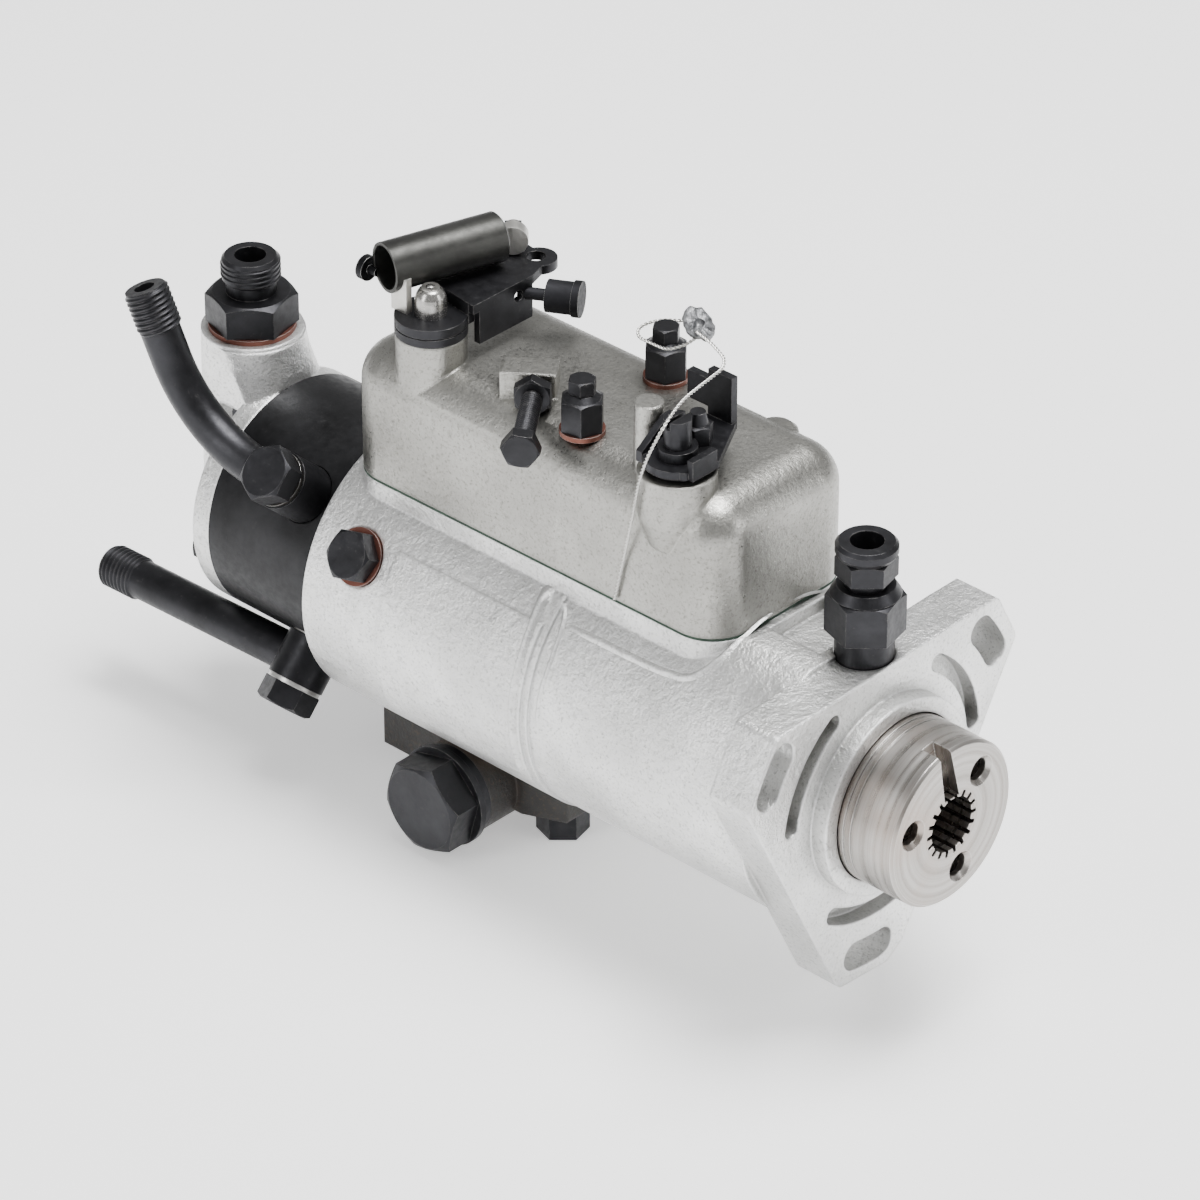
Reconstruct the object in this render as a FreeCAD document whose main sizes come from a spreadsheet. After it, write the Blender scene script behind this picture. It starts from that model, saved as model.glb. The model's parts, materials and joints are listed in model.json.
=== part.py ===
import FreeCAD, Part
import math
import os
import Sketcher

# Rotary diesel injection pump, in millimetres. The origin is on the drive axis, in the
# mounting face of the flange. +X points forward out of the drive end, +Z points up to the
# governor cover, and -Y is the side that carries the idle screw and the locking bolt.

Vector = FreeCAD.Vector
X = Vector(1, 0, 0)
Y = Vector(0, 1, 0)
Z = Vector(0, 0, 1)

SIZES = {
    # drive end
    "hub_radius": 23,
    "hub_reach": 23,
    "hub_root": -12,
    "journal_radius": 17,
    "hub_tail": -46,
    "nose_radius": 14,
    "spline_outer": 9.5,
    "spline_inner": 7.75,
    "spline_depth": 18,
    "hub_hole_circle": 15.4,
    "hub_hole_radius": 3.1,
    "spigot_radius": 27.5,
    "spigot_length": 5,
    "running_gap": 0.05,
    # flange
    "flange_thickness": 13.5,
    "flange_reach": 55,
    "slot_circle": 48,
    "slot_width": 8.6,
    "groove_circle": 35.2,
    "groove_width": 5,
    "groove_depth": 5,
    # housing
    "housing_back": -168,
    "housing_radius": 41,
    "housing_front_radius": 40.3,
    "housing_step": -86,
    "bore_radius": 35,
    "chamber_radius": 34,
    "chamber_front": -42,
    "pad_height": 37.6,
    # governor cover
    "cover_back": -167,
    "cover_length": 132,
    "cover_width": 53.6,
    "cover_middle": 1.8,
    "cover_corner": 12,
    "cover_top": 76,
    "cover_wall": 4,
    "cover_edge": 11.4,
    "gasket_thickness": 0.8,
    # hydraulic head and end plate
    "head_radius": 34,
    "head_front": -143,
    "head_back": -211,
    "rotor_radius": 9,
    "outlet_plane": -182,
    "seat_reach": 32.2,
    "eye_thickness": 13,
    "washer_thickness": 1.2,
    "banjo_radius": 5,
    "pipe_radius": 5.5,
    "plate_rim": 6,
    "inlet_place": -227,
    "inlet_top": 46,
    "inlet_boss": 14,
    # advance device
    "advance_place": -130.6,
    "advance_height": -49.6,
    "advance_barrel": 13.2,
    "piston_radius": 7.4,
    "stud_place": -112,
    "fitting_place": -158,
    # controls on the cover
    "throttle_x": -54.5,
    "throttle_y": -18.5,
    "throttle_radius": 3.6,
    "shutoff_x": -144,
    "shutoff_y": -15,
    "shutoff_radius": 4,
    # governor
    "arm_pivot": 44,
    "arm_plane": -91.6,
    "sleeve_front": -57.6,
    "sleeve_back": -90,
    "quill_radius": 5.5,
}


class Size:
    """A length that keeps the sheet rule it comes from beside its value."""

    def __init__(self, rule, value):
        self.rule = rule
        self.value = value

    def __float__(self):
        return float(self.value)

    def __add__(self, other):
        return combine(self, "+", other, float(self) + float(other))

    def __radd__(self, other):
        return combine(other, "+", self, float(other) + float(self))

    def __sub__(self, other):
        return combine(self, "-", other, float(self) - float(other))

    def __rsub__(self, other):
        return combine(other, "-", self, float(other) - float(self))

    def __mul__(self, other):
        return combine(self, "*", other, float(self) * float(other))

    def __rmul__(self, other):
        return combine(other, "*", self, float(other) * float(self))

    def __truediv__(self, other):
        return combine(self, "/", other, float(self) / float(other))

    def __neg__(self):
        return combine(0, "-", self, -float(self))


def rule_of(size):
    return size.rule if isinstance(size, Size) else "%.6f" % size


def combine(left, sign, right, value):
    return Size("(%s %s %s)" % (rule_of(left), sign, rule_of(right)), value)


def write_sheet(doc):
    """Puts every driving dimension in the sheet, one named cell each."""
    sheet = doc.addObject("Spreadsheet::Sheet", "Sizes")
    for row, (name, value) in enumerate(SIZES.items(), start=1):
        sheet.set("A%d" % row, name)
        sheet.set("B%d" % row, str(value))
        sheet.setAlias("B%d" % row, name)
    doc.recompute()
    return sheet


class Sheet:
    """Gives each sheet cell as a Size, by its name."""

    def __init__(self, sheet):
        for name in SIZES:
            value = float(getattr(sheet, name))
            setattr(self, name, Size("Sizes." + name, value))


doc = FreeCAD.newDocument("InjectionPump")
size = Sheet(write_sheet(doc))
pieces = {}


def bind(item, name, length):
    item.setExpression(name, rule_of(length))


def place(item, at=(0, 0, 0), toward=Z, spin=0):
    """Stands an item's own Z along a direction, with its origin at a point."""
    turn = FreeCAD.Rotation(Z, toward).multiply(FreeCAD.Rotation(Z, spin))
    spot = Vector(*[float(length) for length in at])
    item.Placement = FreeCAD.Placement(spot, turn)
    for letter, length in zip("xyz", at):
        if isinstance(length, Size):
            bind(item, "Placement.Base." + letter, length)
    return item


def rod(name, radius, length, at=(0, 0, 0), toward=Z):
    item = doc.addObject("Part::Cylinder", name)
    bind(item, "Radius", radius)
    bind(item, "Height", length)
    return place(item, at, toward)


def taper(name, radius, end_radius, length, at=(0, 0, 0), toward=Z):
    item = doc.addObject("Part::Cone", name)
    bind(item, "Radius1", radius)
    bind(item, "Radius2", end_radius)
    bind(item, "Height", length)
    return place(item, at, toward)


def block(name, sides, at, toward=Z, spin=0):
    item = doc.addObject("Part::Box", name)
    for side, length in zip(("Length", "Width", "Height"), sides):
        bind(item, side, length)
    return place(item, at, toward, spin)


def centred_block(name, sides, low, middle_y=0):
    """A box from its lowest x and z, centred across y."""
    at = (low[0], middle_y - sides[1] / 2, low[1])
    return block(name, sides, at)


HEX_CHAMFER = 30


def hexagon(name, flats, length, at=(0, 0, 0), toward=Z, spin=0):
    item = doc.addObject("Part::Prism", name)
    item.Polygon = 6
    bind(item, "Circumradius", flats / math.sqrt(3))
    bind(item, "Height", length)
    place(item, at, toward, spin)
    corner = flats / math.sqrt(3) + 0.2
    crown = flats * 0.48
    slope = (corner - crown) * math.tan(math.radians(HEX_CHAMFER))
    outline = [(0, 0), (corner, 0), (corner, length - slope), (crown, length), (0, length)]
    return common(name + "_crowned", item, turned(name + "_crown", outline, at, toward))


def fuse(name, items):
    item = doc.addObject("Part::MultiFuse", name)
    item.Shapes = items
    item.Refine = True
    return item


def group(name, items):
    """Keeps separate solids together under one name."""
    item = doc.addObject("Part::Compound", name)
    item.Links = items
    return item


def cut(name, base, tools):
    item = doc.addObject("Part::Cut", name)
    item.Base = base
    item.Tool = tools[0] if len(tools) == 1 else group(name + "_tools", tools)
    item.Refine = True
    return item


def common(name, base, tool):
    item = doc.addObject("Part::Common", name)
    item.Base = base
    item.Tool = tool
    return item


def solid(name, shape):
    item = doc.addObject("Part::Feature", name)
    item.Shape = shape
    return item


def piece(label, item):
    """Marks an item as one of the pump's pieces and gives it its own name."""
    item.Label = label
    pieces[label] = item
    return item


def origin_plane(body, role):
    return next(item for item in body.Origin.OriginFeatures if item.Role == role)


def new_sketch(body, name, role):
    sketch = body.newObject("Sketcher::SketchObject", name)
    sketch.AttachmentSupport = [(origin_plane(body, role), "")]
    sketch.MapMode = "FlatFace"
    return sketch


def pin_point(sketch, line, u, v, rules):
    """Ties the start of a line to its distances from the sketch's axes."""
    for kind, axis, length in (("DistanceX", -2, u), ("DistanceY", -1, v)):
        if float(length) == 0:
            sketch.addConstraint(Sketcher.Constraint("PointOnObject", line, 1, axis))
        else:
            limit = Sketcher.Constraint(kind, -1, 1, line, 1, float(length))
            rules[sketch.addConstraint(limit)] = rule_of(length)


def polygon(sketch, points):
    """Draws a closed outline whose corners follow the sheet."""
    spots = [Vector(float(u), float(v), 0) for u, v in points]
    lines = [Part.LineSegment(a, b) for a, b in zip(spots, spots[1:] + spots[:1])]
    first = sketch.addGeometry(lines, False)[0]
    total = len(lines)
    rules = {}
    for step in range(total):
        following = first + (step + 1) % total
        sketch.addConstraint(Sketcher.Constraint("Coincident", first + step, 2, following, 1))
    for step, (u, v) in enumerate(points):
        pin_point(sketch, first + step, u, v, rules)
    for index, text in rules.items():
        sketch.setExpression("Constraints[%d]" % index, text)


def turned(name, outline, at=(0, 0, 0), toward=Z):
    """A turned body. The outline gives (radius, height along its axis)."""
    body = doc.addObject("PartDesign::Body", name)
    sketch = new_sketch(body, name + "_outline", "XZ_Plane")
    polygon(sketch, outline)
    turn = body.newObject("PartDesign::Revolution", name + "_turn")
    turn.Profile = sketch
    turn.ReferenceAxis = (sketch, ["V_Axis"])
    turn.Angle = 360
    sketch.Visibility = False
    return place(body, at, toward)


def flat_outline(name, outline, thickness, at=(0, 0, 0), toward=Z, spin=0, corner=None):
    """A plate of even thickness, its upright corners rounded if a radius is given."""
    body = doc.addObject("PartDesign::Body", name)
    sketch = new_sketch(body, name + "_outline", "XY_Plane")
    polygon(sketch, outline)
    pad = body.newObject("PartDesign::Pad", name + "_pad")
    pad.Profile = sketch
    bind(pad, "Length", thickness)
    if corner is not None:
        doc.recompute()
        upright = upright_edges(pad.Shape)
        soft = body.newObject("PartDesign::Fillet", name + "_corners")
        soft.Base = (pad, upright)
        bind(soft, "Radius", corner)
    return place(body, at, toward, spin)


def upright_edges(shape):
    names = []
    for number, edge in enumerate(shape.Edges, start=1):
        along = edge.tangentAt(edge.FirstParameter)
        if abs(along.z) > 0.999:
            names.append("Edge%d" % number)
    return names


def rectangle(length, width, across=0):
    """The corners of a rectangle that starts at zero and is centred across."""
    low = across - width / 2
    high = across + width / 2
    return [(0, low), (length, low), (length, high), (0, high)]


def radial(angle):
    turn = math.radians(angle)
    return Vector(0, math.cos(turn), math.sin(turn))


def on_circle(x, radius, angle):
    """A point at a radius from the drive axis, with the angle from +Y towards +Z."""
    turn = math.radians(angle)
    return (x, radius * math.cos(turn), radius * math.sin(turn))


def seat_screw(name, at, toward, flats, head, shank, length):
    """A hexagon screw whose head stands on a seat, with its shank behind the seat."""
    top = hexagon(name + "_head", flats, head, at, toward)
    stem = rod(name + "_stem", shank, length, at, -toward)
    return fuse(name, [top, stem])


# Housing

# each lug by the angle of its slot, and each corner by its angle and its extra reach
FLANGE_LUGS = (33, 150, 265)
FLANGE_CORNERS = ((23.7, 1.1), (41.3, 2.6), (139.6, -0.9), (161.9, -1.1), (254.1, 1.5), (273.6, 0.7),
                  (280.5, -2.6))


def flange_plate():
    """The mounting flange: three lugs joined by straight sides."""
    corners = []
    for angle, extra in FLANGE_CORNERS:
        turn = math.radians(angle)
        reach = size.flange_reach + extra
        corners.append((reach * math.cos(turn), reach * math.sin(turn)))
    # the sketch's own axes turn into Y and Z once the plate faces forward
    outline = [(-v, u) for u, v in corners]
    at = (-size.flange_thickness, 0, 0)
    return flat_outline("flange_plate", outline, size.flange_thickness, at, X, 0, 3)


def arc_slot(name, circle, width, middle, spread, back, length):
    """A slot along a circle about the drive axis, as a cutter leaves it."""
    inner = float(circle) - float(width) / 2
    outer = float(circle) + float(width) / 2
    start = Vector(*on_circle(0, 1, middle - spread))
    half = Vector(*on_circle(0, 1, middle))
    end = Vector(*on_circle(0, 1, middle + spread))
    tip = float(width) / 2
    beyond = Vector(0, -end.z, end.y) * tip + end * float(circle)
    before = Vector(0, start.z, -start.y) * tip + start * float(circle)
    edges = [
        Part.Arc(start * outer, half * outer, end * outer).toShape(),
        Part.Arc(end * outer, beyond, end * inner).toShape(),
        Part.Arc(end * inner, half * inner, start * inner).toShape(),
        Part.Arc(start * inner, before, start * outer).toShape(),
    ]
    face = Part.Face(Part.Wire(edges))
    item = solid(name, face.extrude(Vector(float(length), 0, 0)))
    return place_plain(item, Vector(float(back), 0, 0))


def place_plain(item, spot):
    item.Placement = FreeCAD.Placement(spot, FreeCAD.Rotation())
    return item


def flange_slots():
    through = size.flange_thickness + 4
    tools = []
    for lug in FLANGE_LUGS:
        name = "flange_slot_%d" % lug
        back = -size.flange_thickness - 2
        tools.append(arc_slot(name, size.slot_circle, size.slot_width, lug, 6, back, through))
    for lug in FLANGE_LUGS:
        name = "flange_groove_%d" % lug
        back = -size.groove_depth
        length = size.groove_depth + 1
        tools.append(arc_slot(name, size.groove_circle, size.groove_width, lug - 2, 24, back, length))
    return tools


def cover_pad():
    outline = rectangle(size.cover_length, size.cover_width, size.cover_middle)
    at = (size.cover_back, 0, 18)
    return flat_outline("cover_pad", outline, size.pad_height - 18, at, Z, 0, size.cover_corner)


def pump_housing():
    rear_length = size.housing_step - size.housing_back
    rear = rod("barrel_rear", size.housing_radius, rear_length, (size.housing_back, 0, 0), X)
    front_length = -size.housing_step - 12
    front = rod("barrel_front", size.housing_front_radius, front_length, (size.housing_step, 0, 0), X)
    rim = size.spigot_length + 2
    spigot = rod("spigot_ring", size.spigot_radius, rim, (-2, 0, 0), X)
    patch = rod("side_pad_round", size.housing_radius + 0.8, 52, (-140, 0, 0), X)
    window = block("side_pad_window", (54, 30, 46), (-141, -50, -20))
    side_pad = common("side_pad", patch, window)
    inspection = rod("inspection_pad", 15, 14, (-110, 29.5, 0), Y)
    body = fuse("housing_body", [rear, front, cover_pad(), flange_plate(), spigot, side_pad, inspection])
    tools = flange_slots()
    depth = 1 - size.housing_back - 116
    tools.append(rod("head_bore", size.bore_radius + size.running_gap, depth, (size.housing_back - 1, 0, 0),
                     X))
    tools.append(rod("chamber_bore", size.chamber_radius, 116 + size.chamber_front, (-116, 0, 0), X))
    tools.append(rod("bush_bore", 20, 30, (size.chamber_front, 0, 0), X))
    tools.append(rod("hub_bore", size.hub_radius + 0.35, 20, (size.hub_root - 2.4, 0, 0), X))
    tools.append(centred_block("top_opening", (112, 22, 60), (-156, 10)))
    tools.append(centred_block("advance_window", (13, 18, 12), (size.advance_place - 6.5, -45)))
    tools.append(block("top_trim", (200, 90, 20), (-180, -45, size.pad_height)))
    tools.append(block("neck_pocket", (17, 21.5, 10), (-32.5, -7.5, 33.6)))
    tools.append(rod("leak_off_face", 8, 8, (-8.8, 1.7, 36), Z))
    tools.append(rod("leak_off_hole", 5, 12, (-8.8, 1.7, 27), Z))
    tools.append(rod("locking_bolt_hole", 5, 20, on_circle(-152, 28, 150), radial(150)))
    tools.append(rod("locking_bolt_face", 8.3, 8, on_circle(-152, 40, 150), radial(150)))
    tools.append(rod("stud_hole", 4, 12, (size.stud_place, 0, -44), Z))
    tools.append(rod("fitting_hole", 5, 12, (size.fitting_place, 0, -44), Z))
    tools.append(rod("inspection_hole", 8, 20, (-110, 28, 0), Y))
    for x in (-121, -99):
        tools.append(rod("inspection_tap_%d" % -x, 2, 7, (x, 36.5, 0), Y))
    for x, y in ((-89.5, -16), (-92, 18)):
        tools.append(rod("cover_stud_tap_%d" % y, 3, 12, (x, y, 27), Z))
    return piece("pump_housing", cut("housing", body, tools))


def housing_parts():
    bush = cut("bush_body", rod("bush_round", 20, 22.6, (-37.6, 0, 0), X),
               [rod("bush_hole", size.journal_radius + size.running_gap, 40, (-45, 0, 0), X)])
    piece("drive_bush", bush)
    seal = cut("seal_body", rod("seal_round", 19.9, 2.2, (-14.8, 0, 0), X),
               [rod("seal_hole", size.journal_radius + 0.2, 6, (-17, 0, 0), X)])
    piece("drive_seal", seal)
    plate = flat_outline("inspection_plate", stadium(34, 18), 3, (-110, 44.5, 0), Y)
    gasket = flat_outline("inspection_sheet", stadium(34, 18), 1, (-110, 43.5, 0), Y)
    plate_holes = [rod("plate_hole_%d" % -x, 2.1, 6, (x, 43, 0), Y) for x in (-121, -99)]
    sheet_holes = [rod("sheet_hole_%d" % -x, 2.1, 6, (x, 42, 0), Y) for x in (-121, -99)]
    cover = cut("inspection_cover_cut", plate, plate_holes)
    sheet = cut("inspection_gasket_cut", gasket, sheet_holes)
    piece("inspection_cover", group("inspection_cover_set", [cover, sheet]))
    screws = [seat_screw("inspection_screw_%d" % -x, (x, 47.5, 0), Y, 7, 3.4, 2, 9) for x in (-121, -99)]
    return screws


def stadium(length, width):
    """A rectangle with cut corners, the shape of a small two-screw plate."""
    long = length / 2
    wide = width / 2
    nip = width / 4
    return [(-nip - wide / 2, -wide), (nip + wide / 2, -wide), (long, -nip), (long, nip),
            (nip + wide / 2, wide), (-nip - wide / 2, wide), (-long, nip), (-long, -nip)]


# Governor cover

def cover_shell():
    outline = rectangle(size.cover_length, size.cover_width, size.cover_middle)
    bottom = size.pad_height + size.gasket_thickness
    at = (size.cover_back, 0, bottom)
    height = size.cover_top - bottom
    shell = flat_outline("cover_shell", outline, height, at, Z, 0, size.cover_corner)
    doc.recompute()
    rim = []
    tip = shell.Tip
    for number, edge in enumerate(tip.Shape.Edges, start=1):
        box = edge.BoundBox
        if box.ZMin > float(height) - 0.01:
            rim.append("Edge%d" % number)
    soft = shell.newObject("PartDesign::Fillet", "cover_shell_rim")
    soft.Base = (tip, rim)
    bind(soft, "Radius", size.cover_edge)
    return shell


def cover_space():
    wall = size.cover_wall
    outline = rectangle(size.cover_length - wall * 2, size.cover_width - wall * 2, size.cover_middle)
    at = (size.cover_back + wall, 0, size.pad_height)
    height = size.cover_top - wall - size.pad_height
    return flat_outline("cover_space", outline, height, at, Z, 0, size.cover_corner - wall)


def screw_block():
    """The raised block for the idle screw, turned about the upright axis."""
    at = (-117, -17.7, 66)
    return block("screw_block", (14.6, 9, 17), at, Z, 37)


BUMP_OUTLINE = [(0, 0), (6.6, 0), (6.4, 9), (5.8, 11.4), (4.4, 12.6), (0, 13)]


def governor_cover():
    bosses = [
        cover_shell(),
        rod("shutoff_boss", 9.4, 26.5, (size.shutoff_x, size.shutoff_y, 57), Z),
        rod("throttle_boss", 10.2, 12, (size.throttle_x, size.throttle_y, 69), Z),
        taper("throttle_boss_foot", 7.4, 10.2, 9, (size.throttle_x, size.throttle_y, 60), Z),
        rod("stop_post", 3.8, 25, (-67, -15.5, 69), Z),
        turned("front_bump", BUMP_OUTLINE, (-57.2, 21.6, 62), Z),
        screw_block(),
    ]
    body = fuse("cover_body", bosses)
    tools = []
    space = cut("cover_hollow", cover_space(), [
        rod("shutoff_guide", 9.4, 30, (size.shutoff_x, size.shutoff_y, 57), Z),
        rod("throttle_guide", 10.2, 30, (size.throttle_x, size.throttle_y, 60), Z),
    ])
    tools.append(space)
    gap = size.running_gap
    tools.append(rod("shutoff_bore", size.shutoff_radius + gap, 40, (size.shutoff_x, size.shutoff_y, 50), Z))
    tools.append(rod("throttle_bore", size.throttle_radius + gap, 40,
                     (size.throttle_x, size.throttle_y, 50), Z))
    for x, y in ((-89.5, -16), (-92, 18)):
        tools.append(rod("cover_stud_hole_%d" % y, 3.3, 12, (x, y, 68), Z))
    tools.append(rod("idle_tap", 2.5, 30, (-115, -5, 79.7), Vector(0.6, -0.8, 0)))
    tools.append(rod("idle_relief", 5.8, 9, (-107.9, -14.5, 79.7), Vector(0.6, -0.8, 0)))
    return piece("governor_cover", cut("cover", body, tools))


def cover_parts():
    sheet = flat_outline("gasket_sheet", rectangle(size.cover_length, size.cover_width, size.cover_middle),
                         size.gasket_thickness,
                         (size.cover_back, 0, size.pad_height), Z, 0, size.cover_corner)
    wall = size.cover_wall
    inside = flat_outline("gasket_window",
                          rectangle(size.cover_length - wall * 2, size.cover_width - wall * 2,
                                    size.cover_middle),
                          4, (size.cover_back + wall, 0, size.pad_height - 2), Z, 0, size.cover_corner - wall)
    piece("cover_gasket", cut("gasket", sheet, [inside]))
    studs = []
    nuts = []
    washers = []
    bleeds = []
    for index, (x, y) in enumerate(((-89.5, -16), (-92, 18))):
        side = ("near", "far")[index]
        studs.append(rod("cover_stud_" + side, 2.9, 57, (x, y, 28), Z))
        ring = turned("cover_washer_" + side, [(3.1, 0), (6, 0), (6, 1.4), (3.1, 1.4)],
                      (x, y, size.cover_top), Z)
        washers.append(ring)
        skirt = hexagon("cover_nut_skirt_" + side, 10.4, 9, (x, y, size.cover_top + 1.4), Z, 10)
        crown = taper("cover_nut_crown_" + side, 4.9, 3.4, 1.4, (x, y, size.cover_top + 10.4), Z)
        hole = rod("cover_nut_hole_" + side, 2.95, 9, (x, y, size.cover_top), Z)
        throat = rod("cover_nut_throat_" + side, 2, 20, (x, y, size.cover_top), Z)
        nuts.append(cut("cover_nut_cut_" + side, fuse("cover_nut_body_" + side, [skirt, crown]),
                        [hole, throat]))
        bleed = fuse("bleed_" + side, [
            rod("bleed_stem_" + side, 1.95, 3.6, (x, y, size.cover_top + 9), Z),
            hexagon("bleed_head_" + side, 6.6, 3.8, (x, y, size.cover_top + 12), Z, 5),
        ])
        bleeds.append(bleed)
    piece("bleed_screws", group("bleed_pair", bleeds))
    piece("cover_nuts", group("cover_nut_set", studs + nuts))
    return washers


def leak_off():
    x, y = -8.8, 1.7
    adapter = fuse("leak_off_body", [
        rod("leak_off_thread", 4.95, 9, (x, y, 27.4), Z),
        rod("leak_off_collar", 7.7, 7.8, (x, y, 36), Z),
        hexagon("leak_off_hex", 18, 11.4, (x, y, 43.6), Z, 43),
        taper("leak_off_crown", 9.2, 7.6, 2.6, (x, y, 55), Z),
    ])
    bore = rod("leak_off_bore", 4.3, 40, (x, y, 30), Z)
    piece("leak_off_adapter", cut("leak_off_adapter_cut", adapter, [bore]))
    union = fuse("leak_off_union_body", [
        rod("leak_off_stem", 4.25, 8, (x, y, 50), Z),
        rod("leak_off_neck", 5.6, 2.4, (x, y, 57.6), Z),
        hexagon("leak_off_nut", 14, 6, (x, y, 60), Z, 43),
        turned("leak_off_ring", [(4.4, 0), (7.4, 0), (8.1, 1.2), (8.1, 3), (7.2, 4), (4.4, 4)], (x, y, 66),
               Z),
    ])
    throat = rod("leak_off_throat", 2.4, 30, (x, y, 48), Z)
    mouth = rod("leak_off_mouth", 4.4, 12, (x, y, 61), Z)
    piece("leak_off_union", cut("leak_off_union_cut", union, [throat, mouth]))


# Rear end

def hydraulic_head():
    front = rod("head_front_part", size.bore_radius, 24, (size.head_front - 24, 0, 0), X)
    back = rod("head_back_part", size.head_radius, size.head_front - size.head_back, (size.head_back, 0, 0),
               X)
    body = fuse("head_body", [front, back])
    tools = [rod("rotor_bore", size.rotor_radius + size.running_gap, 80, (size.head_back - 2, 0, 0), X)]
    for angle in (48, 138, 228, 318):
        tools.append(rod("outlet_seat_%d" % angle, 8.2, 6,
                         on_circle(size.outlet_plane, size.seat_reach, angle),
                         radial(angle)))
        tools.append(rod("outlet_tap_%d" % angle, size.banjo_radius, 9,
                         on_circle(size.outlet_plane, size.seat_reach - 8.5, angle), radial(angle)))
        tools.append(rod("outlet_drill_%d" % angle, 1.4, 25, on_circle(size.outlet_plane, 6, angle),
                         radial(angle)))
    tools.append(rod("metering_bore", 3.55, 24, (-152, 8, 16), Z))
    tools.append(block("metering_flat", (12, 13, 6), (-158, 1.5, 33)))
    tools.append(rod("lock_seat", 3.2, 8, on_circle(-152, 29, 150), radial(150)))
    tools.append(rod("fitting_seat", 3.6, 8, (size.fitting_place, 0, -38), Z))
    for angle in (20, 110, 200, 290):
        tools.append(rod("plate_tap_%d" % angle, 2.5, 12, on_circle(size.head_back - 1, 27.5, angle), X))
    return piece("hydraulic_head", cut("head", body, tools))


def outlet(angle):
    """One outlet: a bolt through the eye of its pipe, with a washer on each side."""
    name = "_%d" % angle
    out = radial(angle)
    reach = size.seat_reach
    thick = size.washer_thickness
    plane = size.outlet_plane
    rings = []
    for index, start in enumerate((reach, reach + thick + size.eye_thickness)):
        ring = turned("outlet_washer_%d%s" % (index, name), [(5.1, 0), (7.6, 0), (7.6, thick), (5.1, thick)],
                      on_circle(plane, 0, angle), out)
        ring.Placement.Base = out * float(start) + Vector(float(plane), 0, 0)
        rings.append(ring)
    head = reach + thick * 2 + size.eye_thickness
    bolt = fuse("outlet_bolt" + name, [
        rod("outlet_bolt_stem" + name, size.banjo_radius, head - reach + 6,
            on_circle(plane, reach - 6, angle), out),
        hexagon("outlet_bolt_head" + name, 14, 6.4, on_circle(plane, head, angle), out, 30),
    ])
    return rings, bolt


PIPE_ROUTES = {
    # straight start, bend radius, bend angle, straight end, lean of the bend's plane
    138: (4, 36, 70, 21, 6),
    228: (0, 0, 1.2, 75, 0),
    318: (0, 0, 1.2, 75, 0),
    48: (6, 20, 84, 10, -118),
}


def outlet_pipe(angle):
    """A banjo eye with its pipe, which runs back and may bend up."""
    name = "_%d" % angle
    first, bend, turn, last, lean = PIPE_ROUTES[angle]
    out = radial(angle)
    start = size.seat_reach + size.washer_thickness
    middle = start + size.eye_thickness / 2
    plane = size.outlet_plane
    eye = rod("eye" + name, 8, size.eye_thickness, on_circle(plane, start, angle), out)
    begin = Vector(*[float(length) for length in on_circle(plane, middle, angle)])
    tilt = math.radians(lean)
    side = Vector(0, -math.sin(tilt), math.cos(tilt))
    sweep = math.radians(turn)
    shapes = []
    if bend:
        straight = begin - X * (first + 5)
        shapes.append(tube_run(begin, straight, float(size.pipe_radius)))
        centre = straight + side * bend
        half = centre - X * bend * math.sin(sweep / 2) - side * bend * math.cos(sweep / 2)
        end = centre - X * bend * math.sin(sweep) - side * bend * math.cos(sweep)
        way = side * math.sin(sweep) - X * math.cos(sweep)
        arc = Part.Wire([Part.Arc(straight, half, end).toShape()])
        ring = Part.Wire([Part.Circle(straight, -X, float(size.pipe_radius)).toShape()])
        shapes.append(arc.makePipeShell([ring], True, False))
    else:
        end = begin
        way = out * math.sin(sweep) - X * math.cos(sweep)
    tip = end + way * last
    shapes.append(tube_run(end, tip, float(size.pipe_radius)))
    path = solid("pipe_path" + name, shapes[0].multiFuse(shapes[1:]) if bend else shapes[0])
    body = fuse("pipe_body" + name, [eye, path])
    bolt_hole = rod("eye_hole" + name, size.banjo_radius + 0.3, 20, on_circle(plane, start - 4, angle), out)
    mouth = solid("pipe_mouth" + name, tube_run(tip - way * min(22, last + 2), tip + way, 2.9))
    return cut("pipe_cut" + name, body, [bolt_hole, mouth])


def tube_run(start, end, radius):
    way = end - start
    return Part.makeCylinder(radius, way.Length, start, way)


def outlets():
    rings = []
    bolts = []
    pipes = []
    for angle in PIPE_ROUTES:
        more, bolt = outlet(angle)
        rings += more
        bolts.append(bolt)
        pipes.append(outlet_pipe(angle))
    piece("outlet_pipes", group("outlet_pipe_set", pipes))
    piece("banjo_washers", group("banjo_washer_set", rings))
    piece("banjo_bolts", group("banjo_bolt_set", bolts))


FLARE_OUTLINE = [(0, 0), (24, 0), (21.6, 5), (19, 10), (17.2, 15), (16, 19), (15, 23), (14.4, 27), (0, 27)]


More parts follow.
